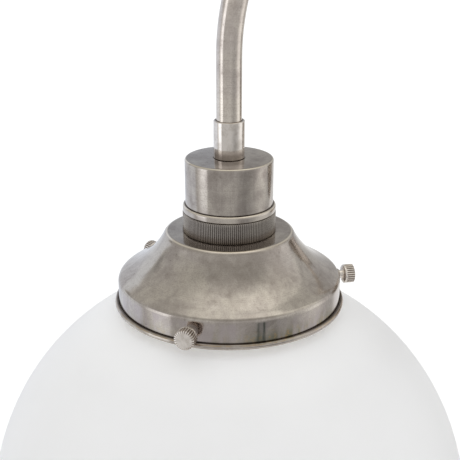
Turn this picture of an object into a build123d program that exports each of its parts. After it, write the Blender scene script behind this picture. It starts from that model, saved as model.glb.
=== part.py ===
from build123d import *
import os
from math import atan2, cos, degrees, radians, sin, sqrt, tan

# A wall light with a swan-neck arm. A lampholder, a spun gallery and a glass globe hang from it.
# Millimetres. +Z is up, the wall is the plane Y = 0 and the light stands out along -Y.
# The origin is the middle of the back plate, on the wall.

os.makedirs("parts", exist_ok=True)

# ---- Fits that are used again and again
thread_gap = 0.05      # radial gap of a thread, drawn as a plain cylinder
slip_gap = 0.1         # radial gap of a plain hole or spigot
seat_gap = 0.05        # gap left between two faces that turn on each other
glass_gap = 0.3        # room between metal and the glass that rests on it

# ---- Arm
arm_reach = 260.0      # wall to lamp axis
foot_straight = 2.0    # bare tube between the collar and the bend beside the wall
foot_radius = 25.0     # centre line of that bend
riser_height = 95.0    # plate centre to the springing of the crook
drop_length = 29.0     # straight tube between the crook and the coupler
tube_radius = 6.0
tube_wall = 1.0        # the bore takes the hollow fittings

# ---- Wall end
plate_radius = 60.0
plate_depth = 24.0
plate_wall = 1.2
plate_rim_width = 5.0  # upright edge that meets the wall
plate_cove = 7.0       # hollow moulding above that edge
plate_edge_radius = 5.0
bracket_length = 96.0
bracket_width = 22.0
bracket_thickness = 2.0
tongue_width = 26.0
tongue_length = 48.0
tongue_corner_radius = 4.0
screw_spacing = 60.3   # centres of the two wall screws, as on a wall box
wall_slot_length = 10.0
wall_slot_radius = 2.6
stud_spacing = 80.0
stud_radius = 1.95
dome_nut_flat = 4.0    # half the width across flats
dome_nut_hex_height = 3.4
dome_radius = 3.8
stud_proud = 5.0       # stretch of a stud beyond the plate, inside its nut
collar_radius = 14.0
collar_length = 9.0
collar_floor = 2.0
collar_wall = 2.0      # round the tube
fitting_wall = 1.25    # the hollow M10 fittings
fitting_nut_flat = 7.0
fitting_nut_height = 3.0
washer_radius = 10.0
washer_thickness = 1.0
arm_fitting_grip = 8.0      # length inside the tube
fitting_tail = 1.5          # length beyond the nut

# ---- Wiring
flex_radius = 2.6
core_radius = 1.1
core_pitch = 2.7            # the two cores where they leave the sheath
core_bend = 3.5
block_width = 22.0
block_height = 17.0
block_depth = 11.0
block_top = -24.0           # height of the block's upper face
block_corner_radius = 1.5
pole_pitch = 12.0
pole_radius = 2.6
pole_bore = 1.5
pole_screw_pitch = 9.0
m3_radius = 1.45
m3_head_radius = 2.6
m3_head_height = 1.8
pole_screw_sink = 1.0       # block's face to a pole screw's head
earth_screw_offset = 16.0
earth_head_radius = 3.4
earth_head_height = 2.4
earth_washer_radius = 4.4
earth_washer_thickness = 0.8

# ---- Coupler and lampholder
coupler_wall = 1.3          # round the tube
coupler_length = 18.0
coupler_chamfer = 0.4
tube_seat = 10.0            # depth of the tube in the coupler
grub_radius = 1.45
grub_socket_flat = 0.75
cap_height = 22.4
cap_wall = 1.2
cap_edge_radius = 1.0
bead_proud = 1.3            # bead beyond the cap
bead_height = 3.3
bead_gap = 0.25             # shadow line between the bead and the ring
spigot_height = 5.5         # stretch of the skirt inside the cap
spigot_wall = 1.4
skirt_wall = 1.6            # up to the crests of the M40 thread
skirt_length = 32.3         # bead to the mouth
skirt_lip_width = 1.8
skirt_lip_height = 1.2
shelf_depth = 4.5           # bead to the shelf that carries the insulator
shelf_height = 3.3
shelf_width = 2.1
insulator_disc_height = 12.0
insulator_wall = 2.35       # round the screw shell
insulator_lip = 1.0         # that wall beyond the shell's mouth
shell_length = 22.0
shell_wall = 0.45
terminal_width = 7.0
terminal_height = 7.0
terminal_corner_radius = 0.8
terminal_offset = 9.5
contact_width = 4.0
contact_thickness = 0.5
rivet_radius = 1.4

# ---- Shade rings and gallery
upper_ring_wall = 2.41
upper_ring_height = 10.0
lower_ring_wall = 4.45
lower_ring_height = 8.0
lower_ring_notches = 12
lower_ring_notch_radius = 1.6
ring_chamfer = 0.4
gallery_wall = 0.9
gallery_hole_gap = 0.2
crown_radius = 31.6         # top of the ogee
crown_drop = 1.55           # fall of the rounded shoulder
band_top_drop = 24.8        # crown to the foot of the crease
crease_radius = 3.0         # outside radius of that crease
band_height = 9.3           # crease to the shadow line over the rolled rim
curl_bore = 0.5             # inner radius of the rolled rim
curl_sweep = 280.0
hollow_slope = 19.5         # the ogee starts this much steeper than its chord, in degrees,
turn_slope = 17.1           # is this much flatter where it turns over,
crease_slope = 14.8         # and meets the crease this much flatter than a line from crown to band

# ---- Thumb screws
screw_count = 3
first_screw_angle = -52.9   # about the lamp axis, from +X
screw_rise = 4.9            # that shadow line to the screws' axes
screw_radius = 2.0
screw_tip_gap = 0.3
bush_radius = 2.9
bush_spigot_radius = 2.5
bush_proud = 2.3
bush_inner_length = 2.0
neck_washer_length = 1.1    # smooth collar behind the head
neck_washer_radius = 3.3
head_gap = 2.1              # bush to that collar, with the screw home
head_radius = 4.7
head_length = 4.3
head_flutes = 30
head_flute_radius = 0.36

# ---- Globe
globe_radius = 124.0
globe_wall = 3.0
neck_radius = 49.0
neck_length = 14.9
lip_proud = 1.8             # lip beyond the neck
lip_side_gap = 2.9          # lip to the gallery's band
lip_height = 4.3
lip_round = 1.0
neck_fillet = 4.0

# ---- Bulb
bulb_radius = 30.0
bulb_length = 86.0          # cap to the tip of the glass
bulb_neck_radius = 14.0
bulb_shoulder_slope = 50.0
bulb_wall = 0.9
bulb_cap_radius = 13.3
bulb_cap_height = 20.5
bulb_cap_wall = 0.5
bulb_seal_height = 1.9
bulb_seal_radius = 12.0
bulb_contact_radius = 4.8
bulb_contact_height = 0.8

# ---- Radii from the tube, the bulb's cap and the globe's neck outwards
tube_bore = tube_radius - tube_wall
fitting_hole = tube_bore
fitting_radius = fitting_hole - thread_gap
fitting_bore = fitting_radius - fitting_wall
coupler_radius = tube_radius + thread_gap + coupler_wall
shell_bore = bulb_cap_radius + thread_gap
shell_outer = shell_bore + shell_wall
insulator_radius = shell_outer + thread_gap + insulator_wall
shelf_bore = insulator_radius + slip_gap
skirt_bore = shelf_bore + shelf_width
skirt_radius = skirt_bore + skirt_wall
skirt_lip_radius = skirt_bore - skirt_lip_width
spigot_radius = skirt_bore + spigot_wall
cap_bore = spigot_radius + slip_gap
cap_radius = cap_bore + cap_wall
bead_radius = cap_radius + bead_proud
upper_ring_radius = skirt_radius + thread_gap + upper_ring_wall
lower_ring_radius = skirt_radius + thread_gap + lower_ring_wall
lip_radius = neck_radius + lip_proud
band_radius = lip_radius + lip_side_gap + gallery_wall

# ---- Levels down the lamp axis, and depths from the wall
bend_start = plate_depth + collar_length + foot_straight
riser_depth = bend_start + foot_radius
crook_radius = (arm_reach - riser_depth) / 2
coupler_top = riser_height - drop_length
coupler_base = coupler_top - coupler_length
bead_top = coupler_base - cap_height
bead_base = bead_top - bead_height
upper_ring_top = bead_base - bead_gap
upper_ring_base = upper_ring_top - upper_ring_height
crown = upper_ring_base - seat_gap
lower_ring_top = crown - gallery_wall - seat_gap
skirt_base = bead_base - skirt_length
shelf_top = bead_base - shelf_depth
disc_base = shelf_top + seat_gap
disc_top = disc_base + insulator_disc_height
band_foot = crown - band_top_drop - band_height
screw_level = band_foot + screw_rise
lip_base = screw_level + screw_radius + glass_gap
lip_top = lip_base + lip_height
neck_base = lip_top - neck_length
globe_centre = neck_base - sqrt(globe_radius**2 - neck_radius**2)
contact_base = disc_base - contact_thickness
bulb_contact_top = contact_base - seat_gap
bulb_seal_top = bulb_contact_top - bulb_contact_height
bulb_cap_top = bulb_seal_top - bulb_seal_height
bulb_cap_base = bulb_cap_top - bulb_cap_height
tube_start = plate_depth + collar_floor
plate_inside = plate_depth - plate_wall
arm_nut_depth = plate_inside - washer_thickness - fitting_nut_height
arm_fitting_depth = arm_nut_depth - fitting_tail
lamp_nut_base = coupler_base - cap_wall - fitting_nut_height
lamp_fitting_base = lamp_nut_base - fitting_tail
screw_angles = [first_screw_angle + turn * 360 / screw_count for turn in range(screw_count)]

# ---- Planes and axes
lamp_axis = Axis((0, -arm_reach, 0), (0, 0, 1))
plate_axis = Axis((0, 0, 0), (0, -1, 0))
lamp_section = Plane(origin=(0, -arm_reach, 0), x_dir=(1, 0, 0), z_dir=(0, -1, 0))  # radius, height
plate_section = Plane(origin=(0, 0, 0), x_dir=(1, 0, 0), z_dir=(0, 0, -1))          # radius, depth


def level(height):
    """A horizontal plane on the lamp axis."""
    return Plane(origin=(0, -arm_reach, height))


def upright(depth):
    """A plane parallel to the wall that looks out into the room, x along X and y along Z."""
    return Plane(origin=(0, -depth, 0), x_dir=(1, 0, 0), z_dir=(0, -1, 0))


def radial(angle, radius, height):
    """A plane that looks outwards from the lamp axis, with its y axis up."""
    outward = Vector(cos(radians(angle)), sin(radians(angle)), 0)
    sideways = Vector(-outward.Y, outward.X, 0)
    centre = Vector(0, -arm_reach, height) + outward * radius
    return Plane(origin=centre, x_dir=sideways, z_dir=outward)


# ---- Wall end: bracket, fixings and the spun back plate
with BuildPart() as mounting_bracket:
    with BuildSketch(upright(0)):
        SlotOverall(bracket_length, bracket_width)
        with Locations((0, -tongue_length / 2)):
            Rectangle(tongue_width, tongue_length)
    extrude(amount=bracket_thickness)
    corners = mounting_bracket.edges().filter_by(Axis.Y).group_by(Axis.Z)[0]
    fillet(corners, radius=tongue_corner_radius)
    with BuildSketch(upright(0)):
        with GridLocations(screw_spacing, 0, 2, 1):
            SlotOverall(wall_slot_length, 2 * wall_slot_radius)
        with GridLocations(stud_spacing, 0, 2, 1):
            Circle(stud_radius + thread_gap)
        with Locations((-earth_screw_offset, 0)):
            Circle(stud_radius + thread_gap)
        with Locations((0, block_top - block_height / 2)):
            Circle(m3_radius + thread_gap)
    extrude(amount=bracket_thickness, mode=Mode.SUBTRACT)
mounting_bracket.part.label = "mounting_bracket"
export_step(mounting_bracket.part, "parts/mounting_bracket.step")

with BuildPart() as back_plate:
    with BuildSketch(plate_section):
        with BuildLine():
            edge = Line((plate_radius, 0), (plate_radius, plate_rim_width))
            step = Line(edge @ 1, (plate_radius - plate_wall, plate_rim_width))
            cove = JernArc(step @ 1, (-1, 0), plate_cove - plate_wall, -90)
            side = Line(cove @ 1, (plate_radius - plate_cove, plate_depth - plate_edge_radius))
            turn = JernArc(side @ 1, (0, 1), plate_edge_radius, 90)
            Line(turn @ 1, (fitting_hole + slip_gap, plate_depth))
            offset(amount=plate_wall, side=Side.LEFT)
        make_face()
    revolve(axis=plate_axis)
    with BuildSketch(upright(0)):
        with GridLocations(stud_spacing, 0, 2, 1):
            Circle(stud_radius + slip_gap)
    extrude(amount=plate_depth, mode=Mode.SUBTRACT)
back_plate.part.label = "back_plate"
export_step(back_plate.part, "parts/back_plate.step")

with BuildPart() as bracket_studs:
    with BuildSketch(upright(0)):
        with GridLocations(stud_spacing, 0, 2, 1):
            Circle(stud_radius)
    extrude(amount=plate_depth + stud_proud)
bracket_studs.part.label = "bracket_studs"
export_step(bracket_studs.part, "parts/bracket_studs.step")

with BuildPart() as dome_nuts:
    with BuildSketch(upright(plate_depth)):
        with GridLocations(stud_spacing, 0, 2, 1):
            RegularPolygon(dome_nut_flat, 6, major_radius=False)
    extrude(amount=dome_nut_hex_height)
    with Locations(upright(plate_depth + dome_nut_hex_height)):
        with GridLocations(stud_spacing, 0, 2, 1):
            Sphere(dome_radius, arc_size1=0, align=(Align.CENTER, Align.CENTER, Align.MIN))
    with BuildSketch(upright(plate_depth)):
        with GridLocations(stud_spacing, 0, 2, 1):
            Circle(stud_radius + thread_gap)
    extrude(amount=stud_proud + seat_gap, mode=Mode.SUBTRACT)
dome_nuts.part.label = "dome_nuts"
export_step(dome_nuts.part, "parts/dome_nuts.step")

with BuildPart() as earth_washer:
    with BuildSketch(upright(bracket_thickness)):
        with Locations((-earth_screw_offset, 0)):
            Circle(earth_washer_radius)
            Circle(stud_radius + slip_gap, mode=Mode.SUBTRACT)
    extrude(amount=earth_washer_thickness)
earth_washer.part.label = "earth_washer"
export_step(earth_washer.part, "parts/earth_washer.step")

with BuildPart() as earth_screw:
    head_depth = bracket_thickness + earth_washer_thickness
    with BuildSketch(upright(0)):
        with Locations((-earth_screw_offset, 0)):
            Circle(stud_radius)
    extrude(amount=head_depth)
    with BuildSketch(upright(head_depth)):
        with Locations((-earth_screw_offset, 0)):
            Circle(earth_head_radius)
    extrude(amount=earth_head_height)
earth_screw.part.label = "earth_screw"
export_step(earth_screw.part, "parts/earth_screw.step")

with BuildPart() as arm_collar:
    with BuildSketch(plate_section):
        with BuildLine():
            collar_neck = tube_radius + collar_wall
            collar_bore = tube_radius + thread_gap
            foot = Line((collar_radius, plate_depth), (collar_radius, plate_depth + collar_floor))
            flare = JernArc(foot @ 1, (-1, 0), collar_radius - collar_neck, -90)
            neck = Line(flare @ 1, (collar_neck, plate_depth + collar_length))
            Polyline(
                neck @ 1,
                (collar_bore, plate_depth + collar_length),
                (collar_bore, tube_start),
                (fitting_hole, tube_start),
                (fitting_hole, plate_depth),
                foot @ 0,
            )
        make_face()
    revolve(axis=plate_axis)
arm_collar.part.label = "arm_collar"
export_step(arm_collar.part, "parts/arm_collar.step")

with BuildPart() as arm_fitting:
    with BuildSketch(upright(arm_fitting_depth)):
        Circle(fitting_radius)
        Circle(fitting_bore, mode=Mode.SUBTRACT)
    extrude(amount=tube_start + arm_fitting_grip - arm_fitting_depth)
arm_fitting.part.label = "arm_fitting"
export_step(arm_fitting.part, "parts/arm_fitting.step")

with BuildPart() as arm_washer:
    with BuildSketch(upright(plate_inside - washer_thickness)):
        Circle(washer_radius)
        Circle(fitting_hole + slip_gap, mode=Mode.SUBTRACT)
    extrude(amount=washer_thickness)
arm_washer.part.label = "arm_washer"
export_step(arm_washer.part, "parts/arm_washer.step")

with BuildPart() as arm_nut:
    with BuildSketch(upright(arm_nut_depth)):
        RegularPolygon(fitting_nut_flat, 6, major_radius=False)
        Circle(fitting_hole, mode=Mode.SUBTRACT)
    extrude(amount=fitting_nut_height)
arm_nut.part.label = "arm_nut"
export_step(arm_nut.part, "parts/arm_nut.step")

# ---- Terminal block on the bracket's tongue
block_middle = block_top - block_height / 2
pole_depth = bracket_thickness + block_depth / 2
block_front = bracket_thickness + block_depth

with BuildPart() as terminal_block:
    with BuildSketch(upright(bracket_thickness)):
        with Locations((0, block_middle)):
            RectangleRounded(block_width, block_height, block_corner_radius)
            Circle(m3_radius + slip_gap, mode=Mode.SUBTRACT)
    extrude(amount=block_depth)
    with BuildSketch(upright(block_front)):
        with Locations((0, block_middle)):
            Circle(m3_head_radius + slip_gap)
    extrude(amount=-block_depth / 2, mode=Mode.SUBTRACT)
    with BuildSketch(Plane.XY.offset(block_top)):
        with Locations((0, -pole_depth)):
            with GridLocations(pole_pitch, 0, 2, 1):
                Circle(pole_radius + slip_gap)
    extrude(amount=-block_height, mode=Mode.SUBTRACT)
    with BuildSketch(upright(pole_depth)):
        with Locations((0, block_middle)):
            with GridLocations(pole_pitch, pole_screw_pitch, 2, 2):
                Circle(m3_radius + slip_gap)
    extrude(amount=block_depth, mode=Mode.SUBTRACT)
terminal_block.part.label = "terminal_block"
export_step(terminal_block.part, "parts/terminal_block.step")

with BuildPart() as terminal_poles:
    with BuildSketch(Plane.XY.offset(block_top - seat_gap)):
        with Locations((0, -pole_depth)):
            with GridLocations(pole_pitch, 0, 2, 1):
                Circle(pole_radius)
                Circle(pole_bore, mode=Mode.SUBTRACT)
    extrude(amount=2 * seat_gap - block_height)
    with BuildSketch(upright(pole_depth)):
        with Locations((0, block_middle)):
            with GridLocations(pole_pitch, pole_screw_pitch, 2, 2):
                Circle(m3_radius + thread_gap)
    extrude(amount=block_depth, mode=Mode.SUBTRACT)
terminal_poles.part.label = "terminal_poles"
export_step(terminal_poles.part, "parts/terminal_poles.step")

with BuildPart() as terminal_screws:
    pole_screw_depth = block_front - pole_screw_sink
    with BuildSketch(upright(pole_screw_depth)):
        with Locations((0, block_middle)):
            with GridLocations(pole_pitch, pole_screw_pitch, 2, 2):
                Circle(m3_radius)
    extrude(amount=pole_depth + core_radius + slip_gap - pole_screw_depth)
terminal_screws.part.label = "terminal_screws"
export_step(terminal_screws.part, "parts/terminal_screws.step")

with BuildPart() as block_screw:
    with BuildSketch(upright(0)):
        with Locations((0, block_middle)):
            Circle(m3_radius)
    extrude(amount=pole_depth)
    with BuildSketch(upright(pole_depth)):
        with Locations((0, block_middle)):
            Circle(m3_head_radius)
    extrude(amount=m3_head_height)
block_screw.part.label = "block_screw"
export_step(block_screw.part, "parts/block_screw.step")

# ---- Arm: one tube, and the flex that runs through it
tube_end = coupler_top - tube_seat
flex_end = lamp_fitting_base - fitting_tail


def arm_line(start_depth, end_height):
    """The arm's centre line, from a depth off the wall to a height on the lamp axis."""
    foot = Line((-start_depth, 0), (-bend_start, 0))
    bend = JernArc(foot @ 1, (-1, 0), foot_radius, -90)
    riser = Line(bend @ 1, (-riser_depth, riser_height))
    crook = JernArc(riser @ 1, (0, 1), crook_radius, 180)
    Line(crook @ 1, (-arm_reach, end_height))


with BuildPart() as arm_tube:
    with BuildLine(Plane.YZ):
        arm_line(tube_start, tube_end)
    with BuildSketch(upright(tube_start)):
        Circle(tube_radius)
        Circle(tube_bore, mode=Mode.SUBTRACT)
    sweep()
arm_tube.part.label = "arm_tube"
export_step(arm_tube.part, "parts/arm_tube.step")

with BuildPart() as arm_flex:
    with BuildLine(Plane.YZ):
        arm_line(arm_fitting_depth, flex_end)
    with BuildSketch(upright(arm_fitting_depth)):
        Circle(flex_radius)
    sweep()
arm_flex.part.label = "arm_flex"
export_step(arm_flex.part, "parts/arm_flex.step")

with BuildPart() as wall_leads:
    for side in (-1, 1):
        core_x = side * core_pitch / 2
        pole_x = side * pole_pitch / 2
        with BuildLine():
            FilletPolyline(
                (core_x, -arm_fitting_depth, 0),
                (core_x, -pole_depth, 0),
                (pole_x, -pole_depth, -pole_pitch),
                (pole_x, -pole_depth, block_middle),
                radius=core_bend,
            )
        with BuildSketch(Plane(origin=(core_x, -arm_fitting_depth, 0), z_dir=(0, 1, 0))):
            Circle(core_radius)
        sweep()
wall_leads.part.label = "wall_leads"
export_step(wall_leads.part, "parts/wall_leads.step")

# ---- Coupler, cap and lampholder
grub_level = (coupler_base + tube_end) / 2

with BuildPart() as coupler:
    with BuildSketch(level(coupler_base)):
        Circle(coupler_radius)
        Circle(fitting_hole, mode=Mode.SUBTRACT)
    extrude(amount=coupler_length)
    with BuildSketch(level(tube_end)):
        Circle(tube_radius + thread_gap)
    extrude(amount=tube_seat, mode=Mode.SUBTRACT)
    rims = coupler.edges().filter_by(GeomType.CIRCLE).group_by(Axis.Z)
    outer_rims = [rims[end].sort_by(SortBy.RADIUS)[-1] for end in (0, -1)]
    chamfer(outer_rims, coupler_chamfer)
    with BuildSketch(radial(90, 0, grub_level)):
        Circle(grub_radius + thread_gap)
    extrude(amount=coupler_radius, mode=Mode.SUBTRACT)
coupler.part.label = "coupler"
export_step(coupler.part, "parts/coupler.step")

with BuildPart() as grub_screw:
    grub_length = coupler_radius - fitting_hole
    with BuildSketch(radial(90, fitting_hole, grub_level)):
        Circle(grub_radius)
    extrude(amount=grub_length)
    with BuildSketch(radial(90, fitting_hole + grub_length, grub_level)):
        RegularPolygon(grub_socket_flat, 6, major_radius=False)
    extrude(amount=-grub_length / 2, mode=Mode.SUBTRACT)
grub_screw.part.label = "grub_screw"
export_step(grub_screw.part, "parts/grub_screw.step")

with BuildPart() as lamp_fitting:
    with BuildSketch(level(lamp_fitting_base)):
        Circle(fitting_radius)
        Circle(fitting_bore, mode=Mode.SUBTRACT)
    extrude(amount=tube_end - seat_gap - lamp_fitting_base)
lamp_fitting.part.label = "lamp_fitting"
export_step(lamp_fitting.part, "parts/lamp_fitting.step")

with BuildPart() as lamp_nut:
    with BuildSketch(level(lamp_nut_base)):
        RegularPolygon(fitting_nut_flat, 6, major_radius=False)
        Circle(fitting_hole, mode=Mode.SUBTRACT)
    extrude(amount=fitting_nut_height)
lamp_nut.part.label = "lamp_nut"
export_step(lamp_nut.part, "parts/lamp_nut.step")

with BuildPart() as holder_cap:
    cap_hole = fitting_hole + slip_gap
    with BuildSketch(lamp_section):
        with BuildLine():
            top = Line((cap_hole, coupler_base), (cap_radius - cap_edge_radius, coupler_base))
            shoulder = JernArc(top @ 1, (1, 0), cap_edge_radius, -90)
            Polyline(
                shoulder @ 1,
                (cap_radius, bead_top),
                (cap_bore, bead_top),
                (cap_bore, coupler_base - cap_wall),
                (cap_hole, coupler_base - cap_wall),
                top @ 0,
            )
        make_face()
    revolve(axis=lamp_axis)
holder_cap.part.label = "holder_cap"
export_step(holder_cap.part, "parts/holder_cap.step")

with BuildPart() as holder_skirt:
    bead_round = bead_height / 2
    with BuildSketch(lamp_section):
        with BuildLine():
            Polyline(
                (skirt_bore, bead_top + spigot_height),
                (spigot_radius, bead_top + spigot_height),
                (spigot_radius, bead_top),
                (bead_radius - bead_round, bead_top),
            )
            JernArc((bead_radius - bead_round, bead_top), (1, 0), bead_round, -180)
            Polyline(
                (bead_radius - bead_round, bead_base),
                (skirt_radius, bead_base),
                (skirt_radius, skirt_base),
                (skirt_lip_radius, skirt_base),
                (skirt_lip_radius, skirt_base + skirt_lip_height),
                (skirt_bore, skirt_base + skirt_lip_height),
                (skirt_bore, shelf_top - shelf_height),
                (shelf_bore, shelf_top - shelf_height),
                (shelf_bore, shelf_top),
                (skirt_bore, shelf_top),
                (skirt_bore, bead_top + spigot_height),
            )
        make_face()
    revolve(axis=lamp_axis)
holder_skirt.part.label = "holder_skirt"
export_step(holder_skirt.part, "parts/holder_skirt.step")

shell_base = contact_base - seat_gap - shell_length

with BuildPart() as insulator:
    with BuildSketch(level(disc_base)):
        Circle(skirt_bore - slip_gap)
    extrude(amount=insulator_disc_height)
    with BuildSketch(level(disc_base)):
        Circle(insulator_radius)
        Circle(shell_outer + thread_gap, mode=Mode.SUBTRACT)
    extrude(amount=shell_base - insulator_lip - disc_base)
    with BuildSketch(level(disc_base)):
        with Locations((terminal_offset, 0)):
            Circle(rivet_radius + slip_gap)
    extrude(amount=insulator_disc_height, mode=Mode.SUBTRACT)
insulator.part.label = "insulator"
export_step(insulator.part, "parts/insulator.step")

with BuildPart() as screw_shell:
    with BuildSketch(level(shell_base)):
        Circle(shell_outer)
        Circle(shell_bore, mode=Mode.SUBTRACT)
    extrude(amount=shell_length)
screw_shell.part.label = "screw_shell"
export_step(screw_shell.part, "parts/screw_shell.step")

with BuildPart() as centre_contact:
    with BuildSketch(level(contact_base)):
        with Locations((terminal_offset / 2, 0)):
            SlotOverall(terminal_offset + contact_width, contact_width)
    extrude(amount=contact_thickness)
    with BuildSketch(level(contact_base)):
        with Locations((terminal_offset, 0)):
            Circle(rivet_radius)
    extrude(amount=disc_top - contact_base)
centre_contact.part.label = "centre_contact"
export_step(centre_contact.part, "parts/centre_contact.step")

with BuildPart() as holder_terminals:
    with BuildSketch(level(disc_top)):
        with GridLocations(2 * terminal_offset, 0, 2, 1):
            RectangleRounded(terminal_width, terminal_width, terminal_corner_radius)
            Circle(m3_radius + thread_gap, mode=Mode.SUBTRACT)
    extrude(amount=terminal_height)
    with BuildSketch(radial(0, 0, disc_top + terminal_height / 2)):
        Circle(core_radius + slip_gap)
    extrude(amount=skirt_radius, both=True, mode=Mode.SUBTRACT)
holder_terminals.part.label = "holder_terminals"
export_step(holder_terminals.part, "parts/holder_terminals.step")

with BuildPart() as holder_terminal_screws:
    clamp_level = disc_top + terminal_height / 2 + core_radius + slip_gap
    with BuildSketch(level(clamp_level)):
        with GridLocations(2 * terminal_offset, 0, 2, 1):
            Circle(m3_radius)
    extrude(amount=disc_top + terminal_height - clamp_level)
    with BuildSketch(level(disc_top + terminal_height)):
        with GridLocations(2 * terminal_offset, 0, 2, 1):
            Circle(m3_head_radius)
    extrude(amount=m3_head_height)
holder_terminal_screws.part.label = "holder_terminal_screws"
export_step(holder_terminal_screws.part, "parts/holder_terminal_screws.step")

with BuildPart() as lamp_leads:
    wire_level = disc_top + terminal_height / 2
    for side in (-1, 1):
        core_x = side * core_pitch / 2
        with BuildLine():
            FilletPolyline(
                (core_x, -arm_reach, flex_end),
                (core_x, -arm_reach, wire_level),
                (side * (terminal_offset + terminal_width / 2), -arm_reach, wire_level),
                radius=core_radius + slip_gap,
            )
        with BuildSketch(Plane(origin=(core_x, -arm_reach, flex_end), z_dir=(0, 0, -1))):
            Circle(core_radius)
        sweep()
lamp_leads.part.label = "lamp_leads"
export_step(lamp_leads.part, "parts/lamp_leads.step")

# ---- Shade rings
with BuildPart() as upper_shade_ring:
    with BuildSketch(level(upper_ring_base)):
        Circle(upper_ring_radius)
        Circle(skirt_radius + thread_gap, mode=Mode.SUBTRACT)
    extrude(amount=upper_ring_height)
    rims = upper_shade_ring.edges().filter_by(GeomType.CIRCLE).sort_by(SortBy.RADIUS)[-2:]
    chamfer(rims, ring_chamfer)
upper_shade_ring.part.label = "upper_shade_ring"
export_step(upper_shade_ring.part, "parts/upper_shade_ring.step")

with BuildPart() as lower_shade_ring:
    with BuildSketch(level(lower_ring_top)):
        Circle(lower_ring_radius)
        Circle(skirt_radius + thread_gap, mode=Mode.SUBTRACT)
        with PolarLocations(lower_ring_radius, lower_ring_notches):
            Circle(lower_ring_notch_radius, mode=Mode.SUBTRACT)
    extrude(amount=-lower_ring_height)
lower_shade_ring.part.label = "lower_shade_ring"
export_step(lower_shade_ring.part, "parts/lower_shade_ring.step")

# ---- Gallery: one spun sheet with a flat crown, an ogee, an upright band and a rolled rim
# All slopes are taken from the vertical.
crease_lean = degrees(atan2(band_radius - crown_radius, band_top_drop - crown_drop)) + crease_slope
crease_start = Vector(
    band_radius - crease_radius * (1 - cos(radians(crease_lean))),
    crown - band_top_drop + crease_radius * sin(radians(crease_lean)),
)
chord_run = crease_start.X - crown_radius
chord_fall = crown - crown_drop - crease_start.Y
chord_lean = degrees(atan2(chord_run, chord_fall))
start_lean = chord_lean - hollow_slope
middle_lean = chord_lean + turn_slope


def ogee_radii():
    """The radii of two tangent arcs that run from the crown to the crease."""
    leans = [radians(lean) for lean in (start_lean, middle_lean, crease_lean)]
    start, middle, end = leans
    hollow_run = cos(start) - cos(middle)
    swell_run = cos(end) - cos(middle)
    hollow_fall = sin(middle) - sin(start)
    swell_fall = sin(middle) - sin(end)
    scale = hollow_run * swell_fall - swell_run * hollow_fall
    hollow = (chord_run * swell_fall - swell_run * chord_fall) / scale
    swell = (hollow_run * chord_fall - chord_run * hollow_fall) / scale
    return hollow, swell


hollow_radius, swell_radius = ogee_radii()
shoulder_radius = crown_drop / (1 - sin(radians(start_lean)))
crown_flat = crown_radius - shoulder_radius * cos(radians(start_lean))
curl_level = band_foot - curl_bore - gallery_wall


def sheet_line(inset):
    """The gallery's section from the hole to the end of the curl, at an inset from its outer face."""
    flat = Line((skirt_radius + gallery_hole_gap, crown - inset), (crown_flat, crown - inset))
    shoulder = JernArc(flat @ 1, flat % 1, shoulder_radius - inset, start_lean - 90)
    hollow = JernArc(shoulder @ 1, shoulder % 1, hollow_radius + inset, middle_lean - start_lean)
    swell = JernArc(hollow @ 1, hollow % 1, swell_radius - inset, crease_lean - middle_lean)
    crease = JernArc(swell @ 1, swell % 1, crease_radius - inset, -crease_lean)
    band = Line(crease @ 1, (band_radius - inset, curl_level))
    curl = JernArc(band @ 1, band % 1, curl_bore + inset, curl_sweep)
    return flat @ 0, curl @ 1


with BuildPart() as gallery:
    with BuildSketch(lamp_section):
        with BuildLine():
            outer_ends = sheet_line(0)
            inner_ends = sheet_line(gallery_wall)
            Line(outer_ends[0], inner_ends[0])
            Line(outer_ends[1], inner_ends[1])
        make_face()
    revolve(axis=lamp_axis)
    for angle in screw_angles:
        with BuildSketch(radial(angle, band_radius - 2 * gallery_wall, screw_level)):
            Circle(bush_spigot_radius + thread_gap)
        extrude(amount=4 * gallery_wall, mode=Mode.SUBTRACT)
gallery.part.label = "gallery"
export_step(gallery.part, "parts/gallery.step")

bush_face = band_radius + bush_proud

with BuildPart() as gallery_bushes:
    for angle in screw_angles:
        with BuildSketch(radial(angle, band_radius + seat_gap, screw_level)):
            Circle(bush_radius)
        extrude(amount=bush_proud - seat_gap)
        with BuildSketch(radial(angle, band_radius + seat_gap, screw_level)):
            Circle(bush_spigot_radius)
        extrude(amount=-gallery_wall - bush_inner_length)
        with BuildSketch(radial(angle, bush_face, screw_level)):
            Circle(screw_radius + thread_gap)
        extrude(amount=-bush_proud - gallery_wall - bush_inner_length - seat_gap, mode=Mode.SUBTRACT)
gallery_bushes.part.label = "gallery_bushes"
export_step(gallery_bushes.part, "parts/gallery_bushes.step")

# ---- Thumb screws: shank, smooth collar and fluted head
screw_tip = neck_radius + screw_tip_gap
collar_face = bush_face + head_gap

for number, angle in enumerate(screw_angles, start=1):
    with BuildPart() as thumb_screw:
        with BuildSketch(radial(angle, screw_tip, screw_level)):
            Circle(screw_radius)
        extrude(amount=collar_face - screw_tip)
        with BuildSketch(radial(angle, collar_face, screw_level)):
            Circle(neck_washer_radius)
        extrude(amount=neck_washer_length)
        with BuildSketch(radial(angle, collar_face + neck_washer_length, screw_level)):
            Circle(head_radius)
            with PolarLocations(head_radius, head_flutes):
                Circle(head_flute_radius, mode=Mode.SUBTRACT)
        extrude(amount=head_length)
    thumb_screw.part.label = f"thumb_screw_{number}"
    export_step(thumb_screw.part, f"parts/thumb_screw_{number}.step")

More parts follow.
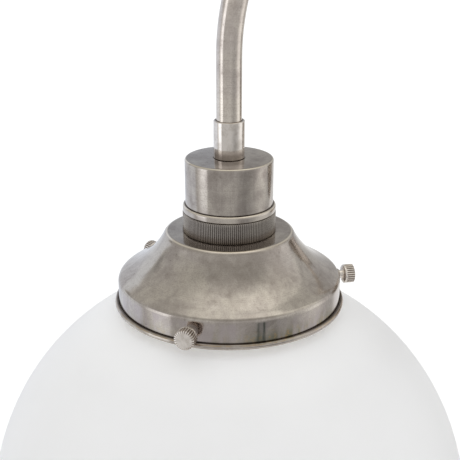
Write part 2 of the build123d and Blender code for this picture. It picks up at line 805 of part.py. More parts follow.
# ---- Globe: blown opal glass with a lipped neck
with BuildPart() as globe:
    inner_radius = globe_radius - globe_wall
    mouth_radius = neck_radius - globe_wall
    mouth_base = globe_centre + sqrt(inner_radius**2 - mouth_radius**2)
    with BuildSketch(lamp_section) as globe_section:
        with BuildLine():
            Polyline(
                (mouth_radius, mouth_base),
                (mouth_radius, lip_top),
                (lip_radius, lip_top),
                (lip_radius, lip_base),
                (neck_radius, lip_base),
                (neck_radius, neck_base),
            )
            ThreePointArc(
                (neck_radius, neck_base),
                (globe_radius, globe_centre),
                (0, globe_centre - globe_radius),
            )
            Line((0, globe_centre - globe_radius), (0, globe_centre - inner_radius))
            ThreePointArc(
                (0, globe_centre - inner_radius),
                (inner_radius, globe_centre),
                (mouth_radius, mouth_base),
            )
        make_face()
        lip_corners = globe_section.vertices().group_by(Axis.X)[-2]
        fillet(lip_corners, radius=lip_round)
    revolve(axis=lamp_axis)
    rings = globe.edges().filter_by(GeomType.CIRCLE).filter_by(lambda edge: edge.radius <= neck_radius)
    fillet(rings.sort_by(Axis.Z)[:2], radius=neck_fillet)
globe.part.label = "globe"
export_step(globe.part, "parts/globe.step")

# ---- Bulb: opal glass, screw cap, seal and end contact
bulb_tip = bulb_cap_base - bulb_length
bulb_centre = bulb_tip + bulb_radius
shoulder_x = bulb_radius * cos(radians(bulb_shoulder_slope))
shoulder_z = bulb_centre + bulb_radius * sin(radians(bulb_shoulder_slope))
neck_foot = shoulder_z + (shoulder_x - bulb_neck_radius) / tan(radians(bulb_shoulder_slope))

with BuildPart() as bulb_glass:
    with BuildSketch(lamp_section):
        with BuildLine():
            FilletPolyline(
                (bulb_neck_radius, bulb_cap_base),
                (bulb_neck_radius, neck_foot),
                (shoulder_x, shoulder_z),
                radius=bulb_neck_radius,
            )
            ThreePointArc((shoulder_x, shoulder_z), (bulb_radius, bulb_centre), (0, bulb_tip))
            offset(amount=bulb_wall, side=Side.RIGHT)
        make_face()
    revolve(axis=lamp_axis)
bulb_glass.part.label = "bulb_glass"
export_step(bulb_glass.part, "parts/bulb_glass.step")

with BuildPart() as bulb_cap:
    with BuildSketch(level(bulb_cap_base)):
        Circle(bulb_cap_radius)
    extrude(amount=bulb_cap_height)
    with BuildSketch(level(bulb_cap_base)):
        Circle(bulb_cap_radius - bulb_cap_wall)
    extrude(amount=bulb_cap_height - bulb_cap_wall, mode=Mode.SUBTRACT)
bulb_cap.part.label = "bulb_cap"
export_step(bulb_cap.part, "parts/bulb_cap.step")

with BuildPart() as bulb_seal:
    with BuildSketch(level(bulb_cap_top)):
        Circle(bulb_seal_radius)
    with BuildSketch(level(bulb_seal_top)):
        Circle(bulb_contact_radius)
    loft()
bulb_seal.part.label = "bulb_seal"
export_step(bulb_seal.part, "parts/bulb_seal.step")

with BuildPart() as bulb_contact:
    with BuildSketch(level(bulb_seal_top)):
        Circle(bulb_contact_radius)
    extrude(amount=bulb_contact_height)
bulb_contact.part.label = "bulb_contact"
export_step(bulb_contact.part, "parts/bulb_contact.step")
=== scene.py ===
from math import atan2, cos, degrees, pi, radians, sin, sqrt

import bmesh
import bpy
from mathutils import Matrix, Vector


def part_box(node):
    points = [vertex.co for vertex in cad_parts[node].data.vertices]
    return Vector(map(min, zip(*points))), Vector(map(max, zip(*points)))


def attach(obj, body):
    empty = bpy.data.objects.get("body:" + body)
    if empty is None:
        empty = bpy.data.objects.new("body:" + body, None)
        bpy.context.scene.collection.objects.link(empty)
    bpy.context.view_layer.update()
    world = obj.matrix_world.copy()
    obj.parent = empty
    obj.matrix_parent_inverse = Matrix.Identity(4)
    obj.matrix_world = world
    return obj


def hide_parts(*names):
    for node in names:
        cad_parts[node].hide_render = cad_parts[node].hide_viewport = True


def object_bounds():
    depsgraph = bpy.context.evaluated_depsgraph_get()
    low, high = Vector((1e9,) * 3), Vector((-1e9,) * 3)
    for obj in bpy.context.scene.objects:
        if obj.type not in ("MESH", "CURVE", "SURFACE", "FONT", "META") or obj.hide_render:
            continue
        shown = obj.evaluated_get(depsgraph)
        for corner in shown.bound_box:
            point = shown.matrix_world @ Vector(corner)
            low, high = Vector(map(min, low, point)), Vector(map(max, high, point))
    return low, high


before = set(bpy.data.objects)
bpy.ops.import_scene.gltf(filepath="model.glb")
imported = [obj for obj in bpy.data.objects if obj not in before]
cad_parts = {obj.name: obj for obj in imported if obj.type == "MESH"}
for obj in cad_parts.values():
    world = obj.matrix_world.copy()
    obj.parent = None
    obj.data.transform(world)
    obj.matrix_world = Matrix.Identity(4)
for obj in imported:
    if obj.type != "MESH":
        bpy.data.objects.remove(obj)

cadLow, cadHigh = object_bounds()
mm = 0.001
nothing = 1e-7                   # metres, a length that counts as none


def extent(node):
    # Outer radius, foot and top of a node that was turned about an upright axis
    low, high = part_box(node)
    return (high.x - low.x) / 2, low.z, high.z


# Places that the frame gives
globeLow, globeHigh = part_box("globe")
galleryLow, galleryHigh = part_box("gallery")
lampAxis = (globeLow + globeHigh) / 2
crownLevel = galleryHigh.z
lampPlace = Matrix.Translation((lampAxis.x, lampAxis.y, 0))
# Local Z stands out of the wall.
wallPlace = Matrix(((1, 0, 0, 0), (0, 0, -1, 0), (0, 1, 0, 0), (0, 0, 0, 1)))
print("frame: lamp axis", [round(v, 4) for v in lampAxis], "crown", round(crownLevel, 4))

photoView = {
    "azimuth": 55.0,             # degrees, seen from the lamp axis
    "distance": 414.77 * mm, "overCrown": 155.02 * mm, "pitchDown": 20.579, "turnRight": 0.055,
    "lens": 71.3,
}


def placeCamera(view):
    around = radians(view["azimuth"])
    out = Vector((sin(around), -cos(around), 0)) * view["distance"]
    camera = bpy.data.objects.new("photoCamera", bpy.data.cameras.new("photoCamera"))
    camera.location = Vector((lampAxis.x, lampAxis.y, crownLevel + view["overCrown"])) + out
    camera.rotation_euler = (radians(90 - view["pitchDown"]), 0, around - radians(view["turnRight"]))
    camera.data.lens = view["lens"]
    camera.data.sensor_width = 36
    camera.data.clip_start = 0.01
    bpy.context.scene.collection.objects.link(camera)
    bpy.context.scene.camera = camera


placeCamera(photoView)
print("camera placed")


# Shader wiring: a Wire is one output socket that takes part in arithmetic, a Board is one node tree.
class Wire:
    def __init__(self, board, socket):
        self.board = board
        self.socket = socket

    def math(self, operation, *values, clamp=False):
        settings = {"operation": operation, "use_clamp": clamp}
        return self.board.node("ShaderNodeMath", settings, dict(enumerate((self, *values))))

    def __add__(self, other):
        return self.math("ADD", other)

    def __sub__(self, other):
        return self.math("SUBTRACT", other)

    def __mul__(self, other):
        return self.math("MULTIPLY", other)

    def __truediv__(self, other):
        return self.math("DIVIDE", other)

    def __pow__(self, other):
        return self.math("POWER", other)

    def __rsub__(self, other):
        return self * -1.0 + other

    __radd__ = __add__
    __rmul__ = __mul__

    def largest(self, other):
        return self.math("MAXIMUM", other)

    def smallest(self, other):
        return self.math("MINIMUM", other)

    def step(self, low, high):
        # 0 up to low and 1 from high on, smooth between; low may be the larger of the two
        sockets = {"Value": self, "From Min": low, "From Max": high}
        return self.board.node("ShaderNodeMapRange", {"interpolation_type": "SMOOTHSTEP"}, sockets)

    def near(self, middle, reach):
        # 1 at middle, 0 from reach away from it
        return (self - middle).math("ABSOLUTE").step(reach, 0.0)


class Board:
    def __init__(self, tree):
        self.tree = tree
        tree.nodes.clear()

    def node(self, kind, settings=None, sockets=None, out=0):
        made = self.tree.nodes.new(kind)
        for name, value in (settings or {}).items():
            if name == "stops":
                self.setStops(made.color_ramp, value)
            else:
                setattr(made, name, value)
        for name, value in (sockets or {}).items():
            socket = made.inputs[name]
            if isinstance(value, Wire):
                self.tree.links.new(value.socket, socket)
            elif socket.type == "RGBA" and len(value) == 3:
                socket.default_value = (*value, 1)
            else:
                socket.default_value = value
        return Wire(self, made.outputs[out]) if made.outputs else None

    def setStops(self, ramp, stops):
        while len(ramp.elements) < len(stops):
            ramp.elements.new(0.5)
        for element, (place, colour) in zip(ramp.elements, stops):
            element.position = place
            element.color = (*colour, 1)

    def mix(self, factor, first, second, blend="MIX"):
        settings = {"data_type": "RGBA", "blend_type": blend, "clamp_factor": True}
        return self.node("ShaderNodeMix", settings, {0: factor, 6: first, 7: second}, out=2)

    def vector(self, operation, first, second):
        return self.node("ShaderNodeVectorMath", {"operation": operation}, {0: first, 1: second})

    def noise(self, place, scale, detail=3.0, rough=0.5, bend=0.0):
        sockets = {"Vector": place, "Scale": scale, "Detail": detail, "Roughness": rough, "Distortion": bend}
        return self.node("ShaderNodeTexNoise", None, sockets)

    def split(self, place):
        made = self.node("ShaderNodeSeparateXYZ", None, {0: place}).socket.node
        return [Wire(self, socket) for socket in made.outputs]

    def join(self, x, y, z):
        return self.node("ShaderNodeCombineXYZ", None, {0: x, 1: y, 2: z})

    def place(self):
        return self.node("ShaderNodeTexCoord", None, None, "Object")

    def spun(self):
        # where a point of a turned piece lies in its own lathe's frame, as spin() stores it
        return self.node("ShaderNodeAttribute", {"attribute_name": "spun"}, None, "Vector")

    def groove(self):
        # 1 at the bottom of a cut that turnedRelief made, 0 on its crests
        return self.node("ShaderNodeAttribute", {"attribute_name": "groove"}, None, "Fac")

    def surface(self, sockets, bumps=()):
        # bumps are (height, strength, distance), laid one over another
        normal = None
        for height, strength, distance in bumps:
            laid = {"Height": height, "Strength": strength, "Distance": distance}
            if normal:
                laid["Normal"] = normal
            normal = self.node("ShaderNodeBump", None, laid)
        if normal:
            sockets["Normal"] = normal
        finish = self.node("ShaderNodeBsdfPrincipled", None, sockets)
        self.node("ShaderNodeOutputMaterial", None, {"Surface": finish})


def newBoard(name):
    material = bpy.data.materials.new(name)
    material.use_nodes = True
    return material, Board(material.node_tree)


# Meshes
def finishPiece(piece, material, body, node):
    piece.data.materials.clear()
    piece.data.materials.append(material)
    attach(piece, body)
    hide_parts(node)


def smoothMesh(mesh, sharpFrom):
    mesh.polygons.foreach_set("use_smooth", [True] * len(mesh.polygons))
    mesh.set_sharp_from_angle(angle=radians(sharpFrom))


def meshObject(name, points, faces, sharpFrom=40, spun=None):
    # spun is where each point lies in its piece's own frame, for the materials.
    mesh = bpy.data.meshes.new(name)
    mesh.from_pydata(points, [], faces)
    if spun:
        held = mesh.attributes.new("spun", "FLOAT_VECTOR", "POINT")
        held.data.foreach_set("vector", [value for point in spun for value in point])
    shell = bmesh.new()
    shell.from_mesh(mesh)
    bmesh.ops.recalc_face_normals(shell, faces=shell.faces)
    shell.to_mesh(mesh)
    shell.free()
    smoothMesh(mesh, sharpFrom)
    piece = bpy.data.objects.new(name, mesh)
    bpy.context.scene.collection.objects.link(piece)
    return piece


class Pen:
    # Draws a section in (radius, height): straight runs and tangent arcs. Heading 0 points outwards, 90 up.
    def __init__(self, radius, height, heading=0.0):
        self.points = [(radius, height)]
        self.heading = heading

    def run(self, length):
        radius, height = self.points[-1]
        way = radians(self.heading)
        self.points.append((radius + length * cos(way), height + length * sin(way)))
        return self

    def arc(self, radius, turn, pieces=0):
        # turn is in degrees, positive to the left
        count = pieces or max(2, round(abs(turn) / 7.5))
        side = 1 if turn > 0 else -1
        start = radians(self.heading)
        x, y = self.points[-1]
        middle = (x - side * radius * sin(start), y + side * radius * cos(start))
        for n in range(1, count + 1):
            way = start + radians(turn) * n / count
            self.points.append((middle[0] + side * radius * sin(way), middle[1] - side * radius * cos(way)))
        self.heading += turn
        return self


def rounded(corners, pieces=3):
    # corners are (radius, height, rounding); each corner with a rounding becomes an arc
    points = []
    for n, (x, y, size) in enumerate(corners):
        here = Vector((x, y))
        if size <= 0:
            points.append(tuple(here))
            continue
        before = (Vector(corners[n - 1][:2]) - here).normalized()
        after = (Vector(corners[(n + 1) % len(corners)][:2]) - here).normalized()
        half = before.angle(after) / 2
        reach = size / max(sin(half) / cos(half), 1e-6)
        middle = here + (before + after).normalized() * (size / sin(half))
        first = here + before * reach - middle
        last = here + after * reach - middle
        sweep = first.angle_signed(last)
        for k in range(pieces + 1):
            turn = -sweep * k / pieces
            points.append(tuple(middle + Matrix.Rotation(turn, 2) @ first))
    return points


def stack(radius, low, high, rows):
    # An upright line of points, for faces that the relief cuts or that reflections cross.
    return [(radius, low + (high - low) * n / rows) for n in range(rows + 1)]


def spin(name, section, place, steps=128, closed=True, sharpFrom=40, flat=0.0):
    # Turns a section of (radius, height) about the local Z axis of place. Points on the axis become poles.
    # With a flat, a hexagon of that half width cuts the piece.
    points, rings = [], []
    for radius, height in section:
        count = 1 if radius < nothing else steps
        rings.append((len(points), count))
        for n in range(count):
            around = 2 * pi * n / steps
            hexagon = flat / cos((around + pi / 6) % (pi / 3) - pi / 6)
            reach = min(radius, hexagon) if flat else radius
            points.append(Vector((reach * cos(around), reach * sin(around), height)))
    faces = []
    pairs = list(zip(rings, rings[1:])) + ([(rings[-1], rings[0])] if closed else [])
    for (low, lowCount), (high, highCount) in pairs:
        for n in range(steps):
            after = n + 1
            turn = [low + n % lowCount, low + after % lowCount]
            turn += [high + after % highCount, high + n % highCount]
            corners = list(dict.fromkeys(turn))
            if len(corners) > 2:
                faces.append(corners)
    return meshObject(name, [place @ point for point in points], faces, sharpFrom, points)


def sweepTube(name, route, radius, bore=0.0, steps=48):
    # A tube, or with no bore a rod, along a flat route.
    sections = [radius] if bore == 0 else [radius, bore]
    points, faces, along = [], [], []
    travelled = 0.0
    for n, here in enumerate(route):
        ahead = (route[min(n + 1, len(route) - 1)] - route[max(n - 1, 0)]).normalized()
        across = Vector((1, 0, 0)) if abs(ahead.x) < 0.9 else Vector((0, 1, 0))
        up = ahead.cross(across).normalized()
        across = up.cross(ahead)
        travelled += (here - route[n - 1]).length if n else 0.0
        for size in sections:
            for k in range(steps):
                around = 2 * pi * k / steps
                points.append(here + across * (size * cos(around)) + up * (size * sin(around)))
                along.append((sin(around) * size, cos(around) * size, travelled))
    ring = steps * len(sections)
    for n in range(len(route) - 1):
        for s in range(len(sections)):
            for k in range(steps):
                a = n * ring + s * steps + k
                b = n * ring + s * steps + (k + 1) % steps
                faces.append((a, b, b + ring, a + ring))
    for end in (0, (len(route) - 1) * ring):
        if bore == 0:
            faces.append([end + k for k in range(steps)])
            continue
        for k in range(steps):
            j = (k + 1) % steps
            faces.append((end + k, end + j, end + steps + j, end + steps + k))
    return meshObject(name, points, faces, 40, along)


# Geometry Nodes: relief that repeats round a turned piece, such as knurls, notches and threads
def reliefTree():
    tree = bpy.data.node_groups.new("turnedRelief", "GeometryNodeTree")
    face = tree.interface
    face.new_socket("Geometry", in_out="OUTPUT", socket_type="NodeSocketGeometry")
    face.new_socket("Geometry", in_out="INPUT", socket_type="NodeSocketGeometry")
    for name in ("Ridges", "Lead", "Depth", "Sharpness", "Low", "High", "Fade", "Inner"):
        face.new_socket(name, in_out="INPUT", socket_type="NodeSocketFloat")
    face.new_socket("Material", in_out="INPUT", socket_type="NodeSocketMaterial")
    board = Board(tree)
    given = board.node("NodeGroupInput").socket.node
    use = {socket.name: Wire(board, socket) for socket in given.outputs if socket.name}
    vector = {"data_type": "FLOAT_VECTOR"}
    spun = board.node("GeometryNodeInputNamedAttribute", vector, {"Name": "spun"})
    outward = board.node("GeometryNodeInputNamedAttribute", vector, {"Name": "outward"})
    x, y, height = board.split(spun)
    around = y.math("ARCTAN2", x) / (2 * pi)
    reach = (x * x + y * y).math("SQRT")
    phase = around * use["Ridges"] + height * use["Lead"]
    wave = phase.math("PINGPONG", 0.5) * 2.0                  # 0 in a valley, 1 on a crest
    wave = 1.0 - (1.0 - wave) ** use["Sharpness"]
    inside = (height - use["Low"]).smallest(use["High"] - height) / use["Fade"]
    inside = inside.math("ADD", 0.0, clamp=True) * reach.math("GREATER_THAN", use["Inner"])
    groove = (1.0 - wave) * inside
    push = groove * use["Depth"] * -1.0
    offset = board.node("ShaderNodeVectorMath", {"operation": "SCALE"}, {0: outward, "Scale": push})
    marked = board.node("GeometryNodeStoreNamedAttribute", {"data_type": "FLOAT", "domain": "POINT"},
                        {"Geometry": use["Geometry"], "Name": "groove", "Value": groove})
    moved = board.node("GeometryNodeSetPosition", None, {"Geometry": marked, "Offset": offset})
    real = board.node("GeometryNodeRealizeInstances", None, {"Geometry": moved})
    dressed = board.node("GeometryNodeSetMaterial", None, {"Geometry": real, "Material": use["Material"]})
    board.node("NodeGroupOutput", None, {"Geometry": dressed})
    return tree


turnedRelief = reliefTree()


def relief(ridges, depth, sharpness, low, high, inner, fade=0.1 * mm, pitch=0.0):
    # What the tree gets: ridges round the piece between two heights, outside the inner radius. With a pitch
    # one ridge climbs as a thread.
    lead = 1 / pitch if pitch else 0.0
    return {"Ridges": ridges, "Lead": lead, "Depth": depth, "Sharpness": sharpness,
            "Low": low, "High": high, "Fade": fade, "Inner": inner}


def cutRelief(piece, place, material, values):
    # Runs the tree on a turned piece and keeps the result as a plain mesh.
    mesh = piece.data
    outward = mesh.attributes.new("outward", "FLOAT_VECTOR", "POINT")
    turn = place.to_3x3()
    ways = []
    for held in mesh.attributes["spun"].data:
        flat = Vector((held.vector.x, held.vector.y, 0))
        ways.extend(turn @ flat.normalized() if flat.length > nothing else (0, 0, 0))
    outward.data.foreach_set("vector", ways)
    nodes = piece.modifiers.new("relief", "NODES")
    nodes.node_group = turnedRelief
    given = [item for item in turnedRelief.interface.items_tree if item.in_out == "INPUT"]
    sockets = {item.name: item.identifier for item in given}
    for name, value in values.items():
        nodes[sockets[name]] = float(value)
    nodes[sockets["Material"]] = material
    graph = bpy.context.evaluated_depsgraph_get()
    plain = bpy.data.meshes.new_from_object(piece.evaluated_get(graph))
    plain.name = piece.name
    piece.modifiers.clear()
    piece.data = plain
    plain.attributes.remove(plain.attributes["outward"])
    smoothMesh(plain, 50)


def turnedPiece(name, section, place, finish, node, slot, body="root", cut=None, **turning):
    # Spins a section, cuts its relief and puts the piece in the place of its node.
    piece = spin(name, section, place, **turning)
    if cut:
        cutRelief(piece, place, finish, cut)
    finishPiece(piece, finish, body, node)


# Materials
# The darkest tone also colours painted shade at joints and in grooves, and the palest a painted highlight on
# rounded edges
silverTones = {
    "clean": (0.63, 0.575, 0.525), "worn": (0.46, 0.41, 0.37), "dull": (0.33, 0.285, 0.25),
    "tarnishAndShade": (0.10, 0.075, 0.06), "cream": (0.66, 0.605, 0.535), "polished": (0.86, 0.78, 0.66),
    "mauve": (0.50, 0.44, 0.44), "green": (0.24, 0.235, 0.155), "verdigris": (0.085, 0.10, 0.08),
    "brass": (0.62, 0.43, 0.22),
}


def antiqueSilver(name, tone=1.0, rough=0.12, patina=1.0, jointTarnishAndShade=(), rubbedSheenEdges=(), brassy=(), band=None,
                  shadedKnurl=False):
    # Silver plate that was darkened and rubbed back. Joints, each (radius, height, reach) in the lathe's
    # frame, get dark polish and painted shade; rounded edges, given the same way, get a painted highlight
    # where hands also rub them bright; brassy places show the brass through. band is a stained band's (low,
    # high, drips), each drip (degrees about the axis, half width, strength). The knurl option darkens what
    # the relief cut, as painted shade in the grooves with some tarnish.
    material, board = newBoard(name)
    spun = board.spun()
    x, y, height = board.split(spun)
    radius = (x * x + y * y).math("SQRT")

    def ring(places, low, high):
        mask = 0.0
        for ringRadius, ringHeight, reach in places:
            away = ((radius - ringRadius) ** 2.0 + (height - ringHeight) ** 2.0).math("SQRT")
            mask = away.step(reach * high, reach * low) + mask
        return mask

    wide = board.noise(spun, 48.0, 3.0, 0.55, 0.5)
    cloud = board.noise(spun, 150.0, 5.0, 0.62, 0.5)
    fine = board.noise(spun, 620.0, 4.0, 0.65)
    grain = board.noise(spun, 1900.0, 3.0, 0.7)
    lines = board.noise(board.join(radius, height, 0.0), 2400.0, 2.0, 0.7)
    rubbed = board.noise(board.vector("MULTIPLY", spun, (1.0, 1.0, 0.16)), 330.0, 4.0, 0.6, 0.3)
    colour = board.mix(wide.step(0.60, 0.42), silverTones["clean"], silverTones["cream"])
    worn = (wide * 0.4 + cloud * 0.35 + rubbed * 0.25).step(0.38, 0.62)
    colour = board.mix(worn * patina, colour, silverTones["worn"])
    smoke = (cloud * 0.6 + fine * 0.4).step(0.53, 0.68) * wide.step(0.40, 0.56)
    colour = board.mix(smoke * (0.6 * patina), colour, silverTones["dull"])
    colour = board.mix((grain * 0.7 + lines * 0.3).step(0.44, 0.66) * 0.5, colour, silverTones["dull"])
    dark = fine.step(0.66, 0.72) * cloud.step(0.44, 0.56) * (0.6 * patina)
    if band:
        low, high, drips = band
        around = y.math("ARCTAN2", x) * (180 / pi)
        onBand = height.step(high + 0.8 * mm, high - 0.4 * mm) * height.step(low - 0.5 * mm, low)
        stained = board.noise(board.vector("MULTIPLY", spun, (1.0, 1.0, 0.35)), 75.0, 4.0, 0.6, 0.9)
        foot = onBand * height.step(low + (high - low) * 0.75, low) * stained.step(0.44, 0.60)
        foot = foot * (0.35 + around.near(0.0, 40.0))
        colour = board.mix(onBand * stained.step(0.60, 0.42) * 0.6, colour, silverTones["mauve"])
        colour = board.mix(foot * 0.75, colour, silverTones["green"])
        colour = board.mix(foot * fine.step(0.5, 0.6) * 0.6, colour, silverTones["brass"])
        for middle, reach, strength in drips:
            drip = (around + (rubbed - 0.5) * 2.4).near(middle, reach) * onBand * (0.6 + cloud * 0.8)
            colour = board.mix(drip * strength, colour, silverTones["verdigris"])
    # Painted highlight on the rounded edges, which hands also rub bright
    if rubbedSheenEdges:
        colour = board.mix(ring(rubbedSheenEdges, 0.3, 1.0) * (0.35 + wide * 0.9), colour, silverTones["polished"])
    if brassy:
        colour = board.mix(ring(brassy, 0.3, 1.0) * cloud.step(0.38, 0.56), colour, silverTones["brass"])
    # Dark polish and painted shade at the joints between parts
    if jointTarnishAndShade:
        dark = dark.largest(ring(jointTarnishAndShade, 0.0, 1.0) * (0.65 + cloud * 0.5))
    # Painted shade with some tarnish in the knurl's grooves
    if shadedKnurl:
        dark = dark.largest(board.groove().step(0.2, 0.7) * 0.85)
    # The darkest tone: random tarnish spots together with the painted shade above
    colour = board.mix(dark, colour, silverTones["tarnishAndShade"])
    colour = board.mix(1.0, colour, (tone, tone, tone), "MULTIPLY")
    roughness = rough + worn * 0.04 + smoke * 0.08 + (fine - 0.5) * 0.10 + dark * 0.25
    roughness = roughness.math("ADD", 0.0, clamp=True)
    bumps = [
        (wide, 0.08, 0.35 * mm),
        (cloud * 0.5 + rubbed * 0.5, 0.09, 0.10 * mm),
        (grain * 0.5 + lines * 0.5, 0.12, 0.03 * mm),
    ]
    board.surface({"Base Color": colour, "Metallic": 1.0, "Roughness": roughness}, bumps)
    return material


def brightNickel(name, tone=1.0, rough=0.2, shadedKnurl=False, jointShade=()):
    # Dark marks, each (radius, height, reach, strength) in the lathe's frame: painted shade and a painted
    # reflection where parts meet, with some dried polish
    material, board = newBoard(name)
    spun = board.spun()
    x, y, height = board.split(spun)
    radius = (x * x + y * y).math("SQRT")
    cloud = board.noise(spun, 260.0, 4.0, 0.6)
    turning = board.noise(board.join(radius, height, 0.0), 5200.0, 2.0, 0.6)
    colour = board.mix(cloud.step(0.4, 0.65), (0.74, 0.69, 0.64), (0.60, 0.55, 0.50))
    if shadedKnurl:
        # Painted shade: the knurl's grooves darkened
        colour = board.mix(board.groove().step(0.2, 0.6) * 0.9, colour, (0.14, 0.10, 0.07))
    colour = board.mix(1.0, colour, (tone, tone, tone), "MULTIPLY")
    # Painted shade and reflection at the joints, with some dried polish
    for shadeRadius, shadeHeight, reach, strength in jointShade:
        away = ((radius - shadeRadius) ** 2.0 + (height - shadeHeight) ** 2.0).math("SQRT")
        colour = board.mix(away.step(reach, reach * 0.5) * strength, colour, (0.13, 0.09, 0.065))
    roughness = rough + (cloud - 0.5) * 0.12 + (turning - 0.5) * 0.06
    bumps = [(turning, 0.10, 0.02 * mm), (cloud, 0.06, 0.08 * mm)]
    board.surface({"Base Color": colour, "Metallic": 1.0, "Roughness": roughness}, bumps)
    return material


def cadMetal(name, light, dark, rough, scale=220.0, metallic=1.0):
    material, board = newBoard(name)
    place = board.place()
    cloud = board.noise(place, scale, 4.0, 0.6)
    grain = board.noise(place, scale * 9, 2.0, 0.6)
    colour = board.mix(cloud.step(0.35, 0.65), light, dark)
    roughness = rough + (cloud - 0.5) * 0.15
    bumps = [(grain * 0.5 + cloud * 0.5, 0.12, 0.03 * mm)]
    board.surface({"Base Color": colour, "Metallic": metallic, "Roughness": roughness}, bumps)
    return material


def opalGlass(name):
    material, board = newBoard(name)
    spun = board.spun()
    cloud = board.noise(spun, 22.0, 3.0, 0.5)
    ripple = board.noise(spun, 60.0, 2.0, 0.4)
    colour = board.mix(cloud.step(0.35, 0.7), (0.93, 0.93, 0.925), (0.91, 0.91, 0.905))
    height = board.split(spun)[2] - galleryLow.z
    # Painted light: the glass glows just under the gallery's rim, where the rim shades it, and faintly a
    # little further down
    glow = height.step(-4.0 * mm, 0.0) * 0.3 + height.step(-21.0 * mm, -4.5 * mm) * 0.045
    sockets = {
        "Base Color": colour,
        "Roughness": 0.42 + (cloud - 0.5) * 0.1,
        "Subsurface Weight": 0.35,
        "Subsurface Radius": (1.0, 1.0, 0.95),
        "Subsurface Scale": 6 * mm,
        "Emission Color": board.join(glow, glow, glow * 0.97),
        "Emission Strength": 1.0,
        "IOR": 1.5,
    }
    board.surface(sockets, [(ripple, 0.05, 0.5 * mm)])
    return material


def plainSurface(name, light, dark, rough, scale=300.0, bump=(0.1, 0.05 * mm), softness=0.0):
    material, board = newBoard(name)
    cloud = board.noise(board.spun(), scale, 3.0, 0.5)
    colour = board.mix(cloud, light, dark)
    sockets = {"Base Color": colour, "Roughness": rough + cloud * 0.1, "Subsurface Weight": softness}
    board.surface(sockets, [(cloud, *bump)])
    return material


# Gallery
galleryShape = {
    "wall": 0.9 * mm, "holeRadius": 20.2 * mm, "crownRadius": 31.6 * mm, "crownDrop": 1.55 * mm,
    "bandTopDrop": 24.8 * mm, "creaseRadius": 3.0 * mm, "curlBore": 0.5 * mm, "curlSweep": 280.0,
    "hollowSlope": 19.5, "turnSlope": 17.1, "creaseSlope": 14.8,
}


def gallerySection(size):
    # The spun sheet's closed section: flat crown, ogee of two tangent arcs, upright band and rolled rim.
    curlReach = size["curlBore"] + size["wall"]
    band = extent("gallery")[0] - curlReach - size["curlBore"]
    curlLevel = galleryLow.z + curlReach
    ogeeFall = size["bandTopDrop"] - size["crownDrop"]
    lean = degrees(atan2(band - size["crownRadius"], ogeeFall)) + size["creaseSlope"]
    creaseX = band - size["creaseRadius"] * (1 - cos(radians(lean)))
    creaseZ = crownLevel - size["bandTopDrop"] + size["creaseRadius"] * sin(radians(lean))
    run = creaseX - size["crownRadius"]
    fall = crownLevel - size["crownDrop"] - creaseZ
    chord = degrees(atan2(run, fall))
    start, middle = chord - size["hollowSlope"], chord + size["turnSlope"]
    c0, c1, c2 = (cos(radians(v)) for v in (start, middle, lean))
    s0, s1, s2 = (sin(radians(v)) for v in (start, middle, lean))
    scale = (c0 - c1) * (s1 - s2) - (c2 - c1) * (s1 - s0)
    hollow = (run * (s1 - s2) - (c2 - c1) * fall) / scale
    swell = ((c0 - c1) * fall - run * (s1 - s0)) / scale
    shoulder = size["crownDrop"] / (1 - sin(radians(start)))
    flatEnd = size["crownRadius"] - shoulder * cos(radians(start))

    def face(inset):
        pen = Pen(size["holeRadius"], crownLevel - inset)
        pen.run(flatEnd - size["holeRadius"])
        pen.arc(shoulder - inset, start - 90, 12)
        pen.arc(hollow + inset, middle - start, 28)
        pen.arc(swell - inset, lean - middle, 28)
        pen.arc(size["creaseRadius"] - inset, -lean, 8)
        pen.run(pen.points[-1][1] - curlLevel)
        pen.arc(size["curlBore"] + inset, size["curlSweep"], 26)
        return pen.points

    return face(0), face(size["wall"]), band


outerFace, innerFace, bandRadius = gallerySection(galleryShape)
bandFoot = galleryLow.z + 2 * (galleryShape["curlBore"] + galleryShape["wall"])
bandTop = crownLevel - galleryShape["bandTopDrop"]
shoulderPlace = outerFace[6]                       # on the rounded edge of the crown
# Dark polish and painted shade where the ring sits on the crown and along the band's foot over the rolled
# rim; a painted highlight on the crown's rounded edge
galleryWearAndShade = {
    "jointTarnishAndShade": [(21.8 * mm, crownLevel, 1.4 * mm), (bandRadius + 0.6 * mm, bandFoot, 1.2 * mm)],
    "rubbedSheenEdges": [(*shoulderPlace, 0.6 * mm)],
    "brassy": [(bandRadius + 1.9 * mm, bandFoot - 0.3 * mm, 0.6 * mm)],
    "band": (bandFoot, bandTop, [(-20.0, 4.5, 0.4), (-21.4, 1.2, 0.55), (-18.6, 0.9, 0.8)]),
}
silverGallery = antiqueSilver("silverGallery", tone=0.93, rough=0.11, **galleryWearAndShade)
turnedPiece("spunGallery", outerFace + innerFace[::-1], lampPlace, silverGallery, "gallery", "antique_silver",
            steps=256)
print("gallery spun")

# Cap, skirt, coupler and shade rings
capShape = {
    "wall": 1.2 * mm, "edge": 1.1 * mm, "hole": 5.1 * mm, "footRound": 0.25 * mm, "footDarkening": 0.7 * mm,
    "sleeveShade": 0.6 * mm, "wornSheenEdge": 0.5 * mm,
}


